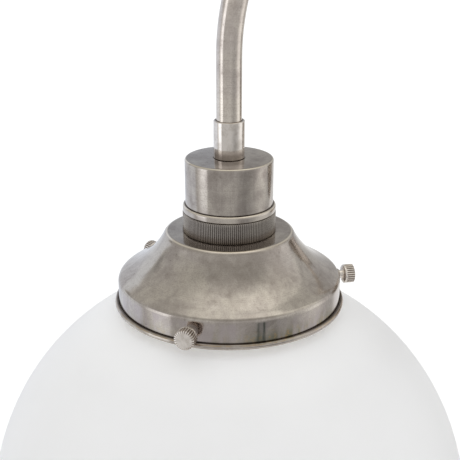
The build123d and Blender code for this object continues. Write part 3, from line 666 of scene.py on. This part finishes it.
def holderCap(size):
    radius, foot, top = extent("holder_cap")
    section = rounded([
        (size["hole"], top, 0),
        (radius, top, size["edge"]),
        (radius, foot, size["footRound"]),
        (radius - size["wall"], foot, 0),
        (radius - size["wall"], top - size["wall"], 0),
        (size["hole"], top - size["wall"], 0),
    ], 6)
    # Dark polish and painted shade at the cap's foot and round the sleeve; a painted highlight on the rounded
    # top edge, which hands also rub bright
    jointTarnishAndShade = [(radius, foot, size["footDarkening"]), (extent("coupler")[0], top, size["sleeveShade"])]
    rubbedSheenEdges = [(radius - size["edge"] * 0.35, top - size["edge"] * 0.25, size["wornSheenEdge"])]
    finish = antiqueSilver("silverCap", tone=0.9, rough=0.11, patina=1.2, jointTarnishAndShade=jointTarnishAndShade, rubbedSheenEdges=rubbedSheenEdges)
    turnedPiece("holderCap", section, lampPlace, finish, "holder_cap", "antique_silver", steps=192)


holderCap(capShape)

skirtShape = {
    "beadHeight": 3.3 * mm, "beadRound": 1.2 * mm, "beadEdge": 0.5 * mm, "spigotRadius": 19.8 * mm,
    "threadRadius": 20.0 * mm, "wall": 1.6 * mm, "shelfDepth": 4.5 * mm, "shelfHeight": 3.3 * mm,
    "shelfBore": 16.3 * mm, "lipRadius": 16.6 * mm, "lipHeight": 1.2 * mm, "threadPitch": 2.5 * mm,
    "threadDepth": 0.5 * mm, "threadFade": 1.0 * mm,
    "threadRows": 150,                   # eight rows or more in each turn
    "topDarkening": 0.6 * mm, "footDarkening": 0.5 * mm, "wornSheenEdge": 0.5 * mm,
}


def holderSkirt(size):
    bead, foot, top = extent("holder_skirt")
    beadTop = extent("holder_cap")[1]
    beadFoot = beadTop - size["beadHeight"]
    thread, bore = size["threadRadius"], size["threadRadius"] - size["wall"]
    shelf = beadFoot - size["shelfDepth"]
    pen = Pen(size["spigotRadius"], top)
    pen.points += [(size["spigotRadius"], beadTop), (bead - size["beadRound"], beadTop)]
    pen.arc(size["beadRound"], -90, 10)
    pen.run(size["beadHeight"] - size["beadRound"] - size["beadEdge"])
    pen.arc(size["beadEdge"], -90, 6)
    pen.points += stack(thread, beadFoot, foot, size["threadRows"])
    pen.points += [
        (size["lipRadius"], foot),
        (size["lipRadius"], foot + size["lipHeight"]),
        (bore, foot + size["lipHeight"]),
        (bore, shelf - size["shelfHeight"]),
        (size["shelfBore"], shelf - size["shelfHeight"]),
        (size["shelfBore"], shelf),
        (bore, shelf),
        (bore, top),
    ]
    # Dark polish and painted shade above and below the bead; a painted highlight on its rounded top, which
    # hands also rub bright
    jointTarnishAndShade = [
        (bead - size["beadRound"], beadTop, size["topDarkening"]),
        (bead - size["beadEdge"], beadFoot, size["footDarkening"]),
    ]
    rubbedSheenEdges = [(bead - size["beadRound"] * 0.3, beadTop - size["beadRound"] * 0.3, size["wornSheenEdge"])]
    finish = antiqueSilver("silverSkirt", tone=0.98, rough=0.14, patina=0.8, jointTarnishAndShade=jointTarnishAndShade, rubbedSheenEdges=rubbedSheenEdges)
    cut = relief(1, size["threadDepth"], 1.4, foot + 0.3 * mm, beadFoot - 0.6 * mm, thread - 0.2 * mm,
                 size["threadFade"], size["threadPitch"])
    turnedPiece("holderSkirt", pen.points, lampPlace, finish, "holder_skirt", "antique_silver", cut=cut)


holderSkirt(skirtShape)

couplerShape = {
    "tubeHole": 6.05 * mm, "fittingHole": 5.0 * mm, "tubeSeat": 10.0 * mm, "edge": 0.4 * mm,
    "holeEdge": 0.15 * mm, "topDarkening": 0.8 * mm, "footDarkening": 4.2 * mm,
}


def lampCoupler(size):
    radius, foot, top = extent("coupler")
    section = rounded([
        (size["tubeHole"], top, size["holeEdge"]),
        (radius, top, size["edge"]),
        (radius, foot, size["edge"]),
        (size["fittingHole"], foot, 0),
        (size["fittingHole"], top - size["tubeSeat"], 0),
        (size["tubeHole"], top - size["tubeSeat"], 0),
    ], 4)
    # Painted shade: a dark line where the tube enters, partly dried polish, and a darker band at the foot as
    # a painted reflection of the cap's top
    jointShade = [(size["tubeHole"], top, size["topDarkening"], 0.95), (radius, foot, size["footDarkening"], 0.4)]
    finish = brightNickel("nickelCoupler", tone=1.1, rough=0.12, jointShade=jointShade)
    turnedPiece("armCoupler", section, lampPlace, finish, "coupler", "polished_nickel", steps=96)


lampCoupler(couplerShape)

ringShape = {
    "chamfer": 0.4 * mm, "bore": 20.05 * mm, "ridges": 150, "ridgeDepth": 0.34 * mm,
    "ridgeSharpness": 2.6, "notches": 12, "notchDepth": 1.3 * mm, "notchSharpness": 5.2,
}


def upperRing(size):
    radius, foot, top = extent("upper_shade_ring")
    chamfer, bore = size["chamfer"], size["bore"]
    section = [(bore, foot), (radius - chamfer, foot)]
    section += stack(radius, foot + chamfer, top - chamfer, 8)
    section += [(radius - chamfer, top), (bore, top)]
    # Painted shade with some tarnish darkens the knurl's grooves
    finish = antiqueSilver("silverKnurl", tone=0.59, rough=0.14, patina=0.5, shadedKnurl=True)
    cut = relief(size["ridges"], size["ridgeDepth"], size["ridgeSharpness"], foot - 1 * mm, top + 1 * mm,
                 radius - 0.2 * mm)
    turnedPiece("upperShadeRing", section, lampPlace, finish, "upper_shade_ring", "antique_silver",
                "upper_ring", cut, steps=size["ridges"] * 6, sharpFrom=60)


def lowerRing(size):
    radius, foot, top = extent("lower_shade_ring")
    section = rounded([
        (size["bore"], foot, 0),
        (radius, foot, size["chamfer"]),
        (radius, top, size["chamfer"]),
        (size["bore"], top, 0),
    ])
    finish = antiqueSilver("silverLowerRing", tone=0.85, rough=0.28)
    cut = relief(size["notches"], size["notchDepth"], size["notchSharpness"], foot - 1 * mm, top + 1 * mm,
                 radius - 0.6 * mm)
    turnedPiece("lowerShadeRing", section, lampPlace, finish, "lower_shade_ring", "antique_silver",
                "lower_ring", cut, steps=size["notches"] * 24, sharpFrom=60)


upperRing(ringShape)
lowerRing(ringShape)
print("lampholder made")

# Thumb screws, in bushes that stand in the gallery's band
screwShape = {
    "angles": (-52.9, 67.1, 187.1),      # about the lamp axis, from +X
    "rise": 4.9 * mm,                    # shadow line to the screws' axes
    "shank": 2.0 * mm, "collar": 3.3 * mm, "head": 4.7 * mm, "collarLength": 0.3 * mm,
    "headLength": 5.1 * mm,
    "plainRim": 0.7 * mm,                # behind the knurl
    "headEdge": 0.15 * mm, "faceRing": 1.6 * mm, "ridges": 26, "ridgeDepth": 0.36 * mm,
    "ridgeSharpness": 1.3, "ridgeFade": 0.3 * mm, "tipRadius": 49.3 * mm, "outerEnd": 64.4 * mm,
}
bushShape = {
    "bore": 2.05 * mm, "radius": 2.9 * mm, "spigot": 2.5 * mm, "proud": 2.3 * mm, "inner": 2.0 * mm,
    "seat": 0.05 * mm, "edge": 0.3 * mm, "boreEdge": 0.1 * mm,
}
# The bushes' nickel is toned darker, as painted shade
shadedBushNickel = brightNickel("shadedNickelBush", tone=0.70, rough=0.24)
# Painted shade darkens the grooves of the thumb screws' knurl
screwFinish = brightNickel("nickelScrew", tone=1.25, rough=0.24, shadedKnurl=True)


def screwPlace(angle):
    # Local Z runs outwards along the screw's axis, from the lamp axis.
    out = Vector((cos(radians(angle)), sin(radians(angle)), 0))
    side = Vector((-out.y, out.x, 0))
    place = Matrix((side, Vector((0, 0, 1)), out)).transposed().to_4x4()
    place.translation = Vector((lampAxis.x, lampAxis.y, bandFoot + screwShape["rise"]))
    return place


def thumbScrew(number, angle, size):
    end, tip = size["outerEnd"], size["tipRadius"]
    headBack = end - size["headLength"]
    collarBack = headBack - size["collarLength"]
    edge = size["headEdge"]
    head, collar, shank = size["head"], size["collar"], size["shank"]
    section = [(0, tip), (shank - 2 * edge, tip), (shank, tip + 2 * edge), (shank, collarBack)]
    section += [(collar - edge, collarBack), (head - 2 * edge, headBack - edge), (head - edge, headBack)]
    section += stack(head, headBack + edge, end - edge, 8)
    section += [(head - edge, end), (head - size["faceRing"], end), (0, end)]
    cut = relief(size["ridges"], size["ridgeDepth"], size["ridgeSharpness"], headBack + size["plainRim"],
                 end + 1 * mm, head - 1.5 * edge, size["ridgeFade"])
    turnedPiece(f"thumbScrew{number}", section, screwPlace(angle), screwFinish, f"thumb_screw_{number}",
                "polished_nickel", f"screw_{number}", cut,
                steps=size["ridges"] * 8, closed=False, sharpFrom=50)


def galleryBush(number, angle, size):
    back = bandRadius - galleryShape["wall"] - size["inner"]
    seat, face = bandRadius + size["seat"], bandRadius + size["proud"]
    section = rounded([
        (size["bore"], back, 0),
        (size["spigot"], back, 0),
        (size["spigot"], seat, 0),
        (size["radius"], seat, 0),
        (size["radius"], face, size["edge"]),
        (size["bore"], face, size["boreEdge"]),
    ])
    turnedPiece(f"galleryBush{number}", section, screwPlace(angle), shadedBushNickel, "gallery_bushes",
                "polished_nickel", steps=64)


for number, angle in enumerate(screwShape["angles"], start=1):
    thumbScrew(number, angle, screwShape)
    galleryBush(number, angle, bushShape)
print("thumb screws made")

# Globe and bulb
globeShape = {
    "wall": 3.0 * mm, "neck": 49.0 * mm, "lip": 50.8 * mm, "lipHeight": 4.3 * mm, "lipRound": 1.0 * mm,
    "mouthRound": 0.9 * mm, "fillet": 4.0 * mm, "rows": 90,
}


def ballArc(radius, centre, start, end, rows):
    # Part of a ball's outline, between two angles from its lowest point.
    ways = [start + (end - start) * n / rows for n in range(rows + 1)]
    return [(radius * sin(way), centre - radius * cos(way)) for way in ways]


def openGlobe(size):
    radius, low, top = extent("globe")
    centre = low + radius
    inner, mouth = radius - size["wall"], size["neck"] - size["wall"]
    filletX = size["neck"] + size["fillet"]
    lean = atan2(filletX, sqrt((radius + size["fillet"]) ** 2 - filletX ** 2))
    innerLean = atan2(mouth, sqrt(inner ** 2 - mouth ** 2))
    section = ballArc(radius, centre, 0, pi - lean, size["rows"])
    pen = Pen(*section[-1], 180 - degrees(lean))
    pen.arc(size["fillet"], degrees(lean) - 90, 8)
    section += pen.points[1:]
    neckTop = top - size["lipHeight"]
    section += rounded([
        (size["neck"], neckTop, 0),
        (size["lip"], neckTop, size["lipRound"]),
        (size["lip"], top, size["lipRound"]),
        (mouth, top, size["mouthRound"]),
        (mouth, neckTop, 0),
    ], 4)[:-1]
    section += ballArc(inner, centre, pi - innerLean, 0, size["rows"])
    turnedPiece("opalGlobe", section, lampPlace, opalGlass("opalGlass"), "globe", "opal_glass",
                steps=224, closed=False, sharpFrom=60)


openGlobe(globeShape)

bulbShape = {
    "radius": 30.0 * mm, "neck": 14.0 * mm, "slope": 50.0, "wall": 0.9 * mm, "rows": 40,
    "lowRows": 20,                       # below the ball's middle
}
bulbCapShape = {
    "wall": 0.5 * mm, "shoulder": 0.8 * mm, "innerShoulder": 1.3 * mm, "threadPitch": 3.63 * mm,
    "threadDepth": 0.75 * mm, "threadFade": 1.5 * mm, "rows": 72,
}


def bulbGlass(size):
    ball, neck, slope, wall = size["radius"], size["neck"], radians(size["slope"]), size["wall"]
    low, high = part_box("bulb_glass")
    section = ballArc(ball, low.z + ball, 0, pi / 2 + slope, size["rows"])
    shoulder = section[-1]
    neckFoot = shoulder[1] + (shoulder[0] - neck) / (sin(slope) / cos(slope))
    section += rounded([(*shoulder, 0), (neck, neckFoot, neck), (neck, high.z, 0)], 8)[1:]
    inner = [(max(x - wall, 0), z + (wall if n < size["lowRows"] else 0)) for n, (x, z) in enumerate(section)]
    finish = plainSurface("bulbFrost", (0.86, 0.855, 0.84), (0.82, 0.81, 0.79), 0.3,
                          scale=90.0, bump=(0.05, 0.1 * mm), softness=0.2)
    turnedPiece("bulbGlass", section + inner[::-1], lampPlace, finish, "bulb_glass", "bulb_glass", "bulb",
                steps=96, closed=False, sharpFrom=60)


def bulbCap(size):
    radius, foot, top = extent("bulb_cap")
    wall = size["wall"]
    section = [(radius - wall, foot)] + stack(radius, foot, top - size["shoulder"], size["rows"])
    section += [(radius - size["shoulder"], top), (0, top), (0, top - wall)]
    section.append((radius - size["innerShoulder"], top - wall))
    finish = brightNickel("nickelBulbCap", rough=0.18)
    cut = relief(1, size["threadDepth"], 1.0, foot + 3 * mm, top - 1 * mm, radius - 0.1 * mm,
                 size["threadFade"], size["threadPitch"])
    turnedPiece("bulbCap", section, lampPlace, finish, "bulb_cap", "polished_nickel", "bulb", cut,
                steps=96, sharpFrom=60)


bulbGlass(bulbShape)
bulbCap(bulbCapShape)
print("globe and bulb made")

# Arm and flex
armShape = {
    "footRadius": 25.0 * mm, "riserDepth": 60.0 * mm, "riserHeight": 95.0 * mm, "wall": 1.0 * mm,
    "flexRadius": 2.6 * mm, "flexTail": 1.5 * mm,
    "footStep": 3.0,                     # degrees
    "crookStep": 2.0,
}
tubeRadius = extent("arm_tube")[0]
tubeStart = -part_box("arm_tube")[1].y
tubeEnd = extent("coupler")[2] - couplerShape["tubeSeat"]
flexStart = -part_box("arm_flex")[1].y
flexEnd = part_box("lamp_fitting")[0].z - armShape["flexTail"]


def armRoute(startDepth, endHeight, size):
    # In the plane of the arm: (depth, height) drawn with the same pen as the sections.
    crook = (-lampAxis.y - size["riserDepth"]) / 2
    pen = Pen(startDepth, 0)
    pen.run(size["riserDepth"] - size["footRadius"] - startDepth)
    pen.arc(size["footRadius"], 90, round(90 / size["footStep"]))
    x, y = pen.points[-1]
    pen.points += stack(x, y, size["riserHeight"], 6)[1:]
    pen.arc(crook, -180, round(180 / size["crookStep"]))
    x, y = pen.points[-1]
    pen.points += stack(x, y, endHeight, 4)[1:]
    return [Vector((0, -depth, height)) for depth, height in pen.points]


def swanNeck(size):
    route = armRoute(tubeStart, tubeEnd, size)
    tube = sweepTube("armTube", route, tubeRadius, tubeRadius - size["wall"], 64)
    silver = antiqueSilver("silverTube", tone=1.26, rough=0.13, patina=0.8)
    finishPiece(tube, silver, "root", "arm_tube")
    flex = sweepTube("armFlex", armRoute(flexStart, flexEnd, size), size["flexRadius"], 0, 24)
    sheath = plainSurface("flexSheath", (0.8, 0.8, 0.78), (0.7, 0.7, 0.68), 0.4)
    finishPiece(flex, sheath, "root", "arm_flex")


swanNeck(armShape)
print("arm swept")

# Wall end
plateShape = {
    "wall": 1.2 * mm, "rimWidth": 5.0 * mm, "rimRound": 0.3 * mm, "innerRound": 0.2 * mm,
    "innerFlat": 0.01 * mm, "cove": 7.0 * mm, "edge": 5.0 * mm, "hole": 5.1 * mm, "rimDarkening": 1.0 * mm,
    "collarDarkening": 1.5 * mm,
}
collarShape = {
    "radius": 14.0 * mm, "floor": 2.0 * mm, "floorRound": 0.4 * mm, "length": 9.0 * mm,
    "neck": 8.0 * mm, "neckRound": 0.5 * mm, "seatRound": 0.2 * mm, "clearance": 0.05 * mm,
    "hole": 5.0 * mm, "footDarkening": 1.2 * mm,
}
nutShape = {
    "flat": 4.0 * mm, "hexHeight": 3.4 * mm, "chamfer": 0.9 * mm,
    "chamferReach": 0.99,                # of the flat
    "dome": 3.8 * mm, "domeRows": 10, "places": (-40.0 * mm, 40.0 * mm),
}
plateDepth = -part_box("back_plate")[0].y


def backPlate(size):
    radius, wall, lip = extent("back_plate")[0], size["wall"], size["rimRound"]
    sideTop = plateDepth - size["edge"]
    outer = Pen(radius, 0, 90)
    outer.run(size["rimWidth"] - lip).arc(lip, 90, 3).run(wall - lip).arc(size["cove"] - wall, -90, 12)
    outer.run(sideTop - outer.points[-1][1]).arc(size["edge"], 90, 12)
    x, y = outer.points[-1]
    outer.points += [(x - (x - size["hole"]) * n / 8, y) for n in range(1, 9)]
    inner = Pen(radius - wall, 0, 90)
    inner.run(size["rimWidth"] - wall).arc(size["innerRound"], 90, 3).run(size["innerFlat"])
    inner.arc(size["cove"], -90, 12)
    inner.run(sideTop - inner.points[-1][1]).arc(size["edge"] - wall, 90, 12)
    inner.points.append((size["hole"], plateDepth - wall))
    # Darker at the rim and round the collar: dark polish with painted shade, as at the other joints
    jointTarnishAndShade = [
        (radius - wall, size["rimWidth"], size["rimDarkening"]),
        (collarShape["radius"], plateDepth, size["collarDarkening"]),
    ]
    finish = antiqueSilver("silverPlate", tone=0.97, rough=0.22, patina=1.1, jointTarnishAndShade=jointTarnishAndShade)
    section = outer.points + inner.points[::-1]
    turnedPiece("backPlate", section, wallPlace, finish, "back_plate", "antique_silver", steps=192)


def armCollar(size):
    pen = Pen(size["radius"], plateDepth, 90)
    pen.run(size["floor"] - size["floorRound"]).arc(size["floorRound"], 90, 4)
    pen.arc(size["radius"] - size["neck"] - size["floorRound"], -90, 14)
    neck, coveTop = pen.points[-1]
    seat, floor, top = tubeRadius + size["clearance"], plateDepth + size["floor"], plateDepth + size["length"]
    pen.points += rounded([
        (neck, coveTop, 0),
        (neck, top, size["neckRound"]),
        (seat, top, size["seatRound"]),
        (seat, floor, 0),
        (size["hole"], floor, 0),
    ], 4)[1:]
    pen.points.append((size["hole"], plateDepth))
    # Dark polish and painted shade where the collar meets the plate
    jointTarnishAndShade = [(size["radius"], plateDepth, size["footDarkening"])]
    finish = antiqueSilver("silverCollar", tone=0.97, rough=0.2, patina=0.9, jointTarnishAndShade=jointTarnishAndShade)
    turnedPiece("armCollar", pen.points, wallPlace, finish, "arm_collar", "antique_silver")


def domeNut(number, x, size):
    # A hexagon whose corners a cone has cut, under a dome.
    flat, base = size["flat"], size["hexHeight"]
    corner = flat / cos(pi / 6)
    section = [(0, 0), (corner, 0), (corner, base - size["chamfer"]), (flat * size["chamferReach"], base)]
    section += ballArc(size["dome"], base, pi / 2, pi, size["domeRows"])
    place = wallPlace @ Matrix.Translation((x, 0, plateDepth))
    turnedPiece(f"domeNut{number}", section, place, nutFinish, "dome_nuts", "polished_nickel",
                steps=96, closed=False, sharpFrom=30, flat=flat)


backPlate(plateShape)
armCollar(collarShape)
nutFinish = brightNickel("nickelNut", tone=0.95, rough=0.22)
for number, x in enumerate(nutShape["places"], start=1):
    domeNut(number, x, nutShape)
print("wall end made")

# Leads
leadShape = {
    "radius": 1.1 * mm, "pitch": 2.7 * mm, "wallBend": 3.5 * mm, "lampBend": 1.2 * mm,
    "poleX": 6.0 * mm, "poleDepth": 7.5 * mm, "blockMiddle": -32.5 * mm, "terminalX": 13.0 * mm,
    "wireLevel": 33.35 * mm,
}
leadFinish = plainSurface("leadSheath", (0.16, 0.11, 0.09), (0.12, 0.085, 0.07), 0.38)


def bentRoute(corners, radius, pieces=8):
    # Straight runs whose corners are arcs of one radius.
    route = [corners[0]]
    for before, here, after in zip(corners, corners[1:], corners[2:]):
        back, ahead = (before - here).normalized(), (after - here).normalized()
        half = back.angle(ahead) / 2
        reach = radius / (sin(half) / cos(half))
        middle = here + (back + ahead).normalized() * (radius / sin(half))
        first, last = here + back * reach - middle, here + ahead * reach - middle
        sweep = first.angle(last)
        for n in range(pieces + 1):
            share = sweep * n / pieces
            route.append(middle + (first * sin(sweep - share) + last * sin(share)) / sin(sweep))
    route.append(corners[-1])
    return route


def supplyLeads(size):
    depth = -size["poleDepth"]
    for number, side in enumerate((-1, 1), start=1):
        core, pole, terminal = side * size["pitch"] / 2, side * size["poleX"], side * size["terminalX"]
        wall = [(core, -flexStart, 0), (core, depth, 0), (pole, depth, -2 * size["poleX"])]
        wall.append((pole, depth, size["blockMiddle"]))
        lamp = [(core, flexEnd), (core, size["wireLevel"]), (terminal, size["wireLevel"])]
        lamp = [(x, lampAxis.y, height) for x, height in lamp]
        for name, corners, bend in (("wall", wall, size["wallBend"]), ("lamp", lamp, size["lampBend"])):
            route = bentRoute([Vector(corner) for corner in corners], bend)
            lead = sweepTube(f"{name}Lead{number}", route, size["radius"], 0, 16)
            finishPiece(lead, leadFinish, "root", f"{name}_leads")


supplyLeads(leadShape)
print("leads made")

# CAD nodes that keep their mesh
cadFinishes = [
    (cadMetal("zincPlate", (0.62, 0.63, 0.64), (0.48, 0.49, 0.51), 0.36), [
        "mounting_bracket", "bracket_studs", "terminal_screws", "block_screw", "arm_fitting", "arm_washer",
        "arm_nut", "grub_screw", "lamp_fitting", "lamp_nut", "holder_terminal_screws"]),
    (cadMetal("plainBrass", (0.72, 0.54, 0.27), (0.60, 0.43, 0.20), 0.3), [
        "earth_screw", "earth_washer", "terminal_poles", "centre_contact", "holder_terminals",
        "bulb_contact"]),
    (cadMetal("shellNickel", (0.70, 0.68, 0.64), (0.58, 0.56, 0.52), 0.22), ["screw_shell"]),
    (cadMetal("whitePorcelain", (0.86, 0.85, 0.82), (0.80, 0.79, 0.75), 0.15, 120.0, 0.0), ["insulator"]),
    (cadMetal("paleNylon", (0.80, 0.80, 0.77), (0.74, 0.74, 0.71), 0.5, 300.0, 0.0), ["terminal_block"]),
    (cadMetal("blackGlass", (0.02, 0.02, 0.022), (0.035, 0.033, 0.03), 0.08, 300.0, 0.0), ["bulb_seal"]),
]


def dressNodes(finishes):
    for material, nodes in finishes:
        for name in nodes:
            part = bpy.data.objects[name]
            if not part.material_slots:
                part.data.materials.append(material)
            for held in part.material_slots:
                held.material = material


dressNodes(cadFinishes)
print("CAD nodes dressed")

# Floor and studio
studio = {
    "floorSize": 14.0, "floorGap": 0.5 * mm, "floorGlow": 0.3,
    "metalHeight": 0.28,      # floor to the middle of the metal parts, for what the metal sees of the floor
    "plain": 0.955,           # level that lights pale and matt surfaces
    "room": 0.57,             # dim side of the studio, behind the camera
    "strip": 0.12,            # what a lighter strip on that side adds
    "dusk": -0.08,            # and a darker one over it
    "gap": 0.40,              # darker corner of that side
    "rightBox": 1.06, "rightBoxLow": -0.28, "leftBox": 1.5,
    "leftPanel": 0.82,        # white board behind the left box
    "leftPanelLow": 0.05, "frame": -0.22,
    "window": 0.22,           # what the tall window on the right adds
    "overWindow": 0.14, "behind": 0.50, "behindDip": -0.07, "backdrop": 0.95, "ceiling": 1.0,
}
# Degrees between which each part of the studio begins and is full, or with near its middle and reach
studioPatches = {
    "gap": [("around", 42.0, 34.0, "near"), ("height", 0.0, -12.0)],
    "strip": [("turned", 85.0, 50.0), ("height", 18.0, 16.0, "near")],
    "dusk": [("turned", 85.0, 50.0), ("height", 48.0, 14.0, "near")],
    "rightBox": [("around", 95.0, 34.0, "near"), ("height", 24.0, 8.0)],
    "rightBoxLow": [("height", -10.0, -18.0)],
    "window": [("around", 52.0, 88.0), ("around", 121.0, 117.0), ("height", 8.0, 24.0)],
    "backdrop": [("around", 118.0, 138.0), ("height", 24.0, -8.0), ("height", 0.0, -24.0)],
    "leftBox": [("around", -94.0, -72.0), ("around", -55.5, -60.0), ("height", 22.0, 18.0)],
    "leftBoxLow": [("height", -8.0, -16.0)],
    "leftBoxLowest": [("height", -14.0, -24.0)],
    "panelRight": [("around", -90.0, -98.0), ("height", 10.0, 6.0)],
    "panelLeft": [("leaning", -121.0, -125.0), ("height", 34.0, 28.0)],
    "panelLow": [("height", -4.0, -20.0)],
    "frame": [("leaning", -116.0, 9.0, "near"), ("height", 18.0, 12.0, "near")],
    "behind": [("turned", 150.0, 168.0), ("height", 2.0, 14.0), ("height", 40.0, 34.0)],
    "behindDip": [("around", 165.0, 40.0, "near")],
    "overWindow": [("around", 25.0, 95.0), ("hanging", 108.5, 103.5)],
    "front": [("around", 0.0, 60.0, "near")],
    "ceiling": [("reach", 53.0, 84.0)],
    "warm": [("height", 15.0, 50.0)],
    "cool": [("height", 34.0, 28.0)],
}


def studioLevel(board, way, size):
    # What metal sees in the direction way: its level and its colour. Around is 0 towards the photograph's
    # camera and 90 to its right, and turned is the same without its sign.
    x, y, z = board.split(way)
    view = radians(photoView["azimuth"])
    toward = x * sin(view) - y * cos(view)
    right = x * cos(view) + y * sin(view)
    around = right.math("ARCTAN2", toward) * (180 / pi)
    height = z.math("ARCSINE") * (180 / pi)
    angles = {"around": around, "turned": around.math("ABSOLUTE"), "height": height}
    angles["leaning"] = around + height * 0.5
    angles["hanging"] = around + height.step(57.0, 68.0) * -27.0

    def patch(name):
        lit = 1.0
        for angle, first, second, *near in studioPatches[name]:
            mask = angles[angle].near if near else angles[angle].step
            lit = mask(first, second) * lit
        return lit

    level = patch("gap") * (size["gap"] - size["room"]) + size["room"]
    level = level + patch("strip") * size["strip"] + patch("dusk") * size["dusk"]
    rightBox = patch("rightBoxLow") * size["rightBoxLow"] + size["rightBox"]
    level = level + patch("rightBox") * (rightBox - size["room"])
    level = level + patch("window") * size["window"]
    level = level + patch("backdrop") * (size["backdrop"] - size["room"])
    leftBox, lows = patch("leftBox"), patch("leftBoxLow") * 0.20 + patch("leftBoxLowest") * 0.12
    level = level + leftBox * (size["leftBox"] * (1.0 - lows) - level)
    leftPanel = patch("panelRight").largest(patch("panelLeft"))
    level = level + leftPanel * (size["leftPanel"] + patch("panelLow") * size["leftPanelLow"] - level)
    level = level + patch("frame") * size["frame"]
    level = level + patch("behind") * (size["behind"] + patch("behindDip") * size["behindDip"] - level)
    overWindow = patch("overWindow")
    angles["reach"] = height + overWindow * 10.0 - patch("front") * 5.0
    level = level + patch("ceiling") * (size["ceiling"] + overWindow * size["overWindow"] - level)
    colour = board.mix(patch("warm"), (1.0, 1.0, 1.0), (1.01, 1.0, 0.95))
    cool = leftPanel.largest(leftBox * 0.5) * patch("cool")
    return level, board.mix(cool, colour, (0.96, 1.01, 1.10))


def rayIs(board, *kinds):
    path = board.node("ShaderNodeLightPath").socket.node
    seen = Wire(board, path.outputs[f"Is {kinds[0]} Ray"])
    for kind in kinds[1:]:
        seen = seen.largest(Wire(board, path.outputs[f"Is {kind} Ray"]))
    return seen


def glowing(board, kind, strength, colour=(1, 1, 1)):
    return board.node(kind, None, {"Strength": strength, "Color": colour})


def paleFloor(size):
    half = size["floorSize"] / 2
    top = cadLow.z - size["floorGap"]
    corners = ((-half, -half), (half, -half), (half, half), (-half, half))
    points = [Vector((lampAxis.x + x, lampAxis.y + y, top)) for x, y in corners]
    floor = meshObject("paleFloor", points, [(0, 1, 2, 3)])
    material, board = newBoard("paleFloor")
    matt = board.node("ShaderNodeBsdfDiffuse", None, {"Color": (0.86, 0.86, 0.86)})
    glow = glowing(board, "ShaderNodeEmission", rayIs(board, "Camera", "Transmission") * size["floorGlow"])
    pale = board.node("ShaderNodeAddShader", None, {0: matt, 1: glow})
    reach = board.vector("SUBTRACT", board.place(), (lampAxis.x, lampAxis.y, top + size["metalHeight"]))
    way = board.node("ShaderNodeVectorMath", {"operation": "NORMALIZE"}, {0: reach})
    mirrored = glowing(board, "ShaderNodeEmission", *studioLevel(board, way, size))
    both = board.node("ShaderNodeMixShader", None, {0: rayIs(board, "Glossy"), 1: pale, 2: mirrored})
    board.node("ShaderNodeOutputMaterial", None, {"Surface": both})
    floor.data.materials.append(material)


def studioWorld(size):
    world = bpy.data.worlds.new("studio")
    bpy.context.scene.world = world
    world.use_nodes = True
    world.cycles.sampling_method = "NONE"          # so that each kind of ray finds its own level
    board = Board(world.node_tree)
    way = board.node("ShaderNodeTexCoord", None, None, "Generated")
    plain = glowing(board, "ShaderNodeBackground", size["plain"])
    white = glowing(board, "ShaderNodeBackground", 1.0)
    room = glowing(board, "ShaderNodeBackground", *studioLevel(board, way, size))
    lit = board.node("ShaderNodeMixShader", None, {0: rayIs(board, "Glossy"), 1: plain, 2: room})
    seen = rayIs(board, "Camera", "Transmission")
    both = board.node("ShaderNodeMixShader", None, {0: seen, 1: lit, 2: white})
    board.node("ShaderNodeOutputWorld", None, {"Surface": both})


paleFloor(studio)
studioWorld(studio)
bpy.context.scene.view_settings.view_transform = "Standard"
print("studio set")
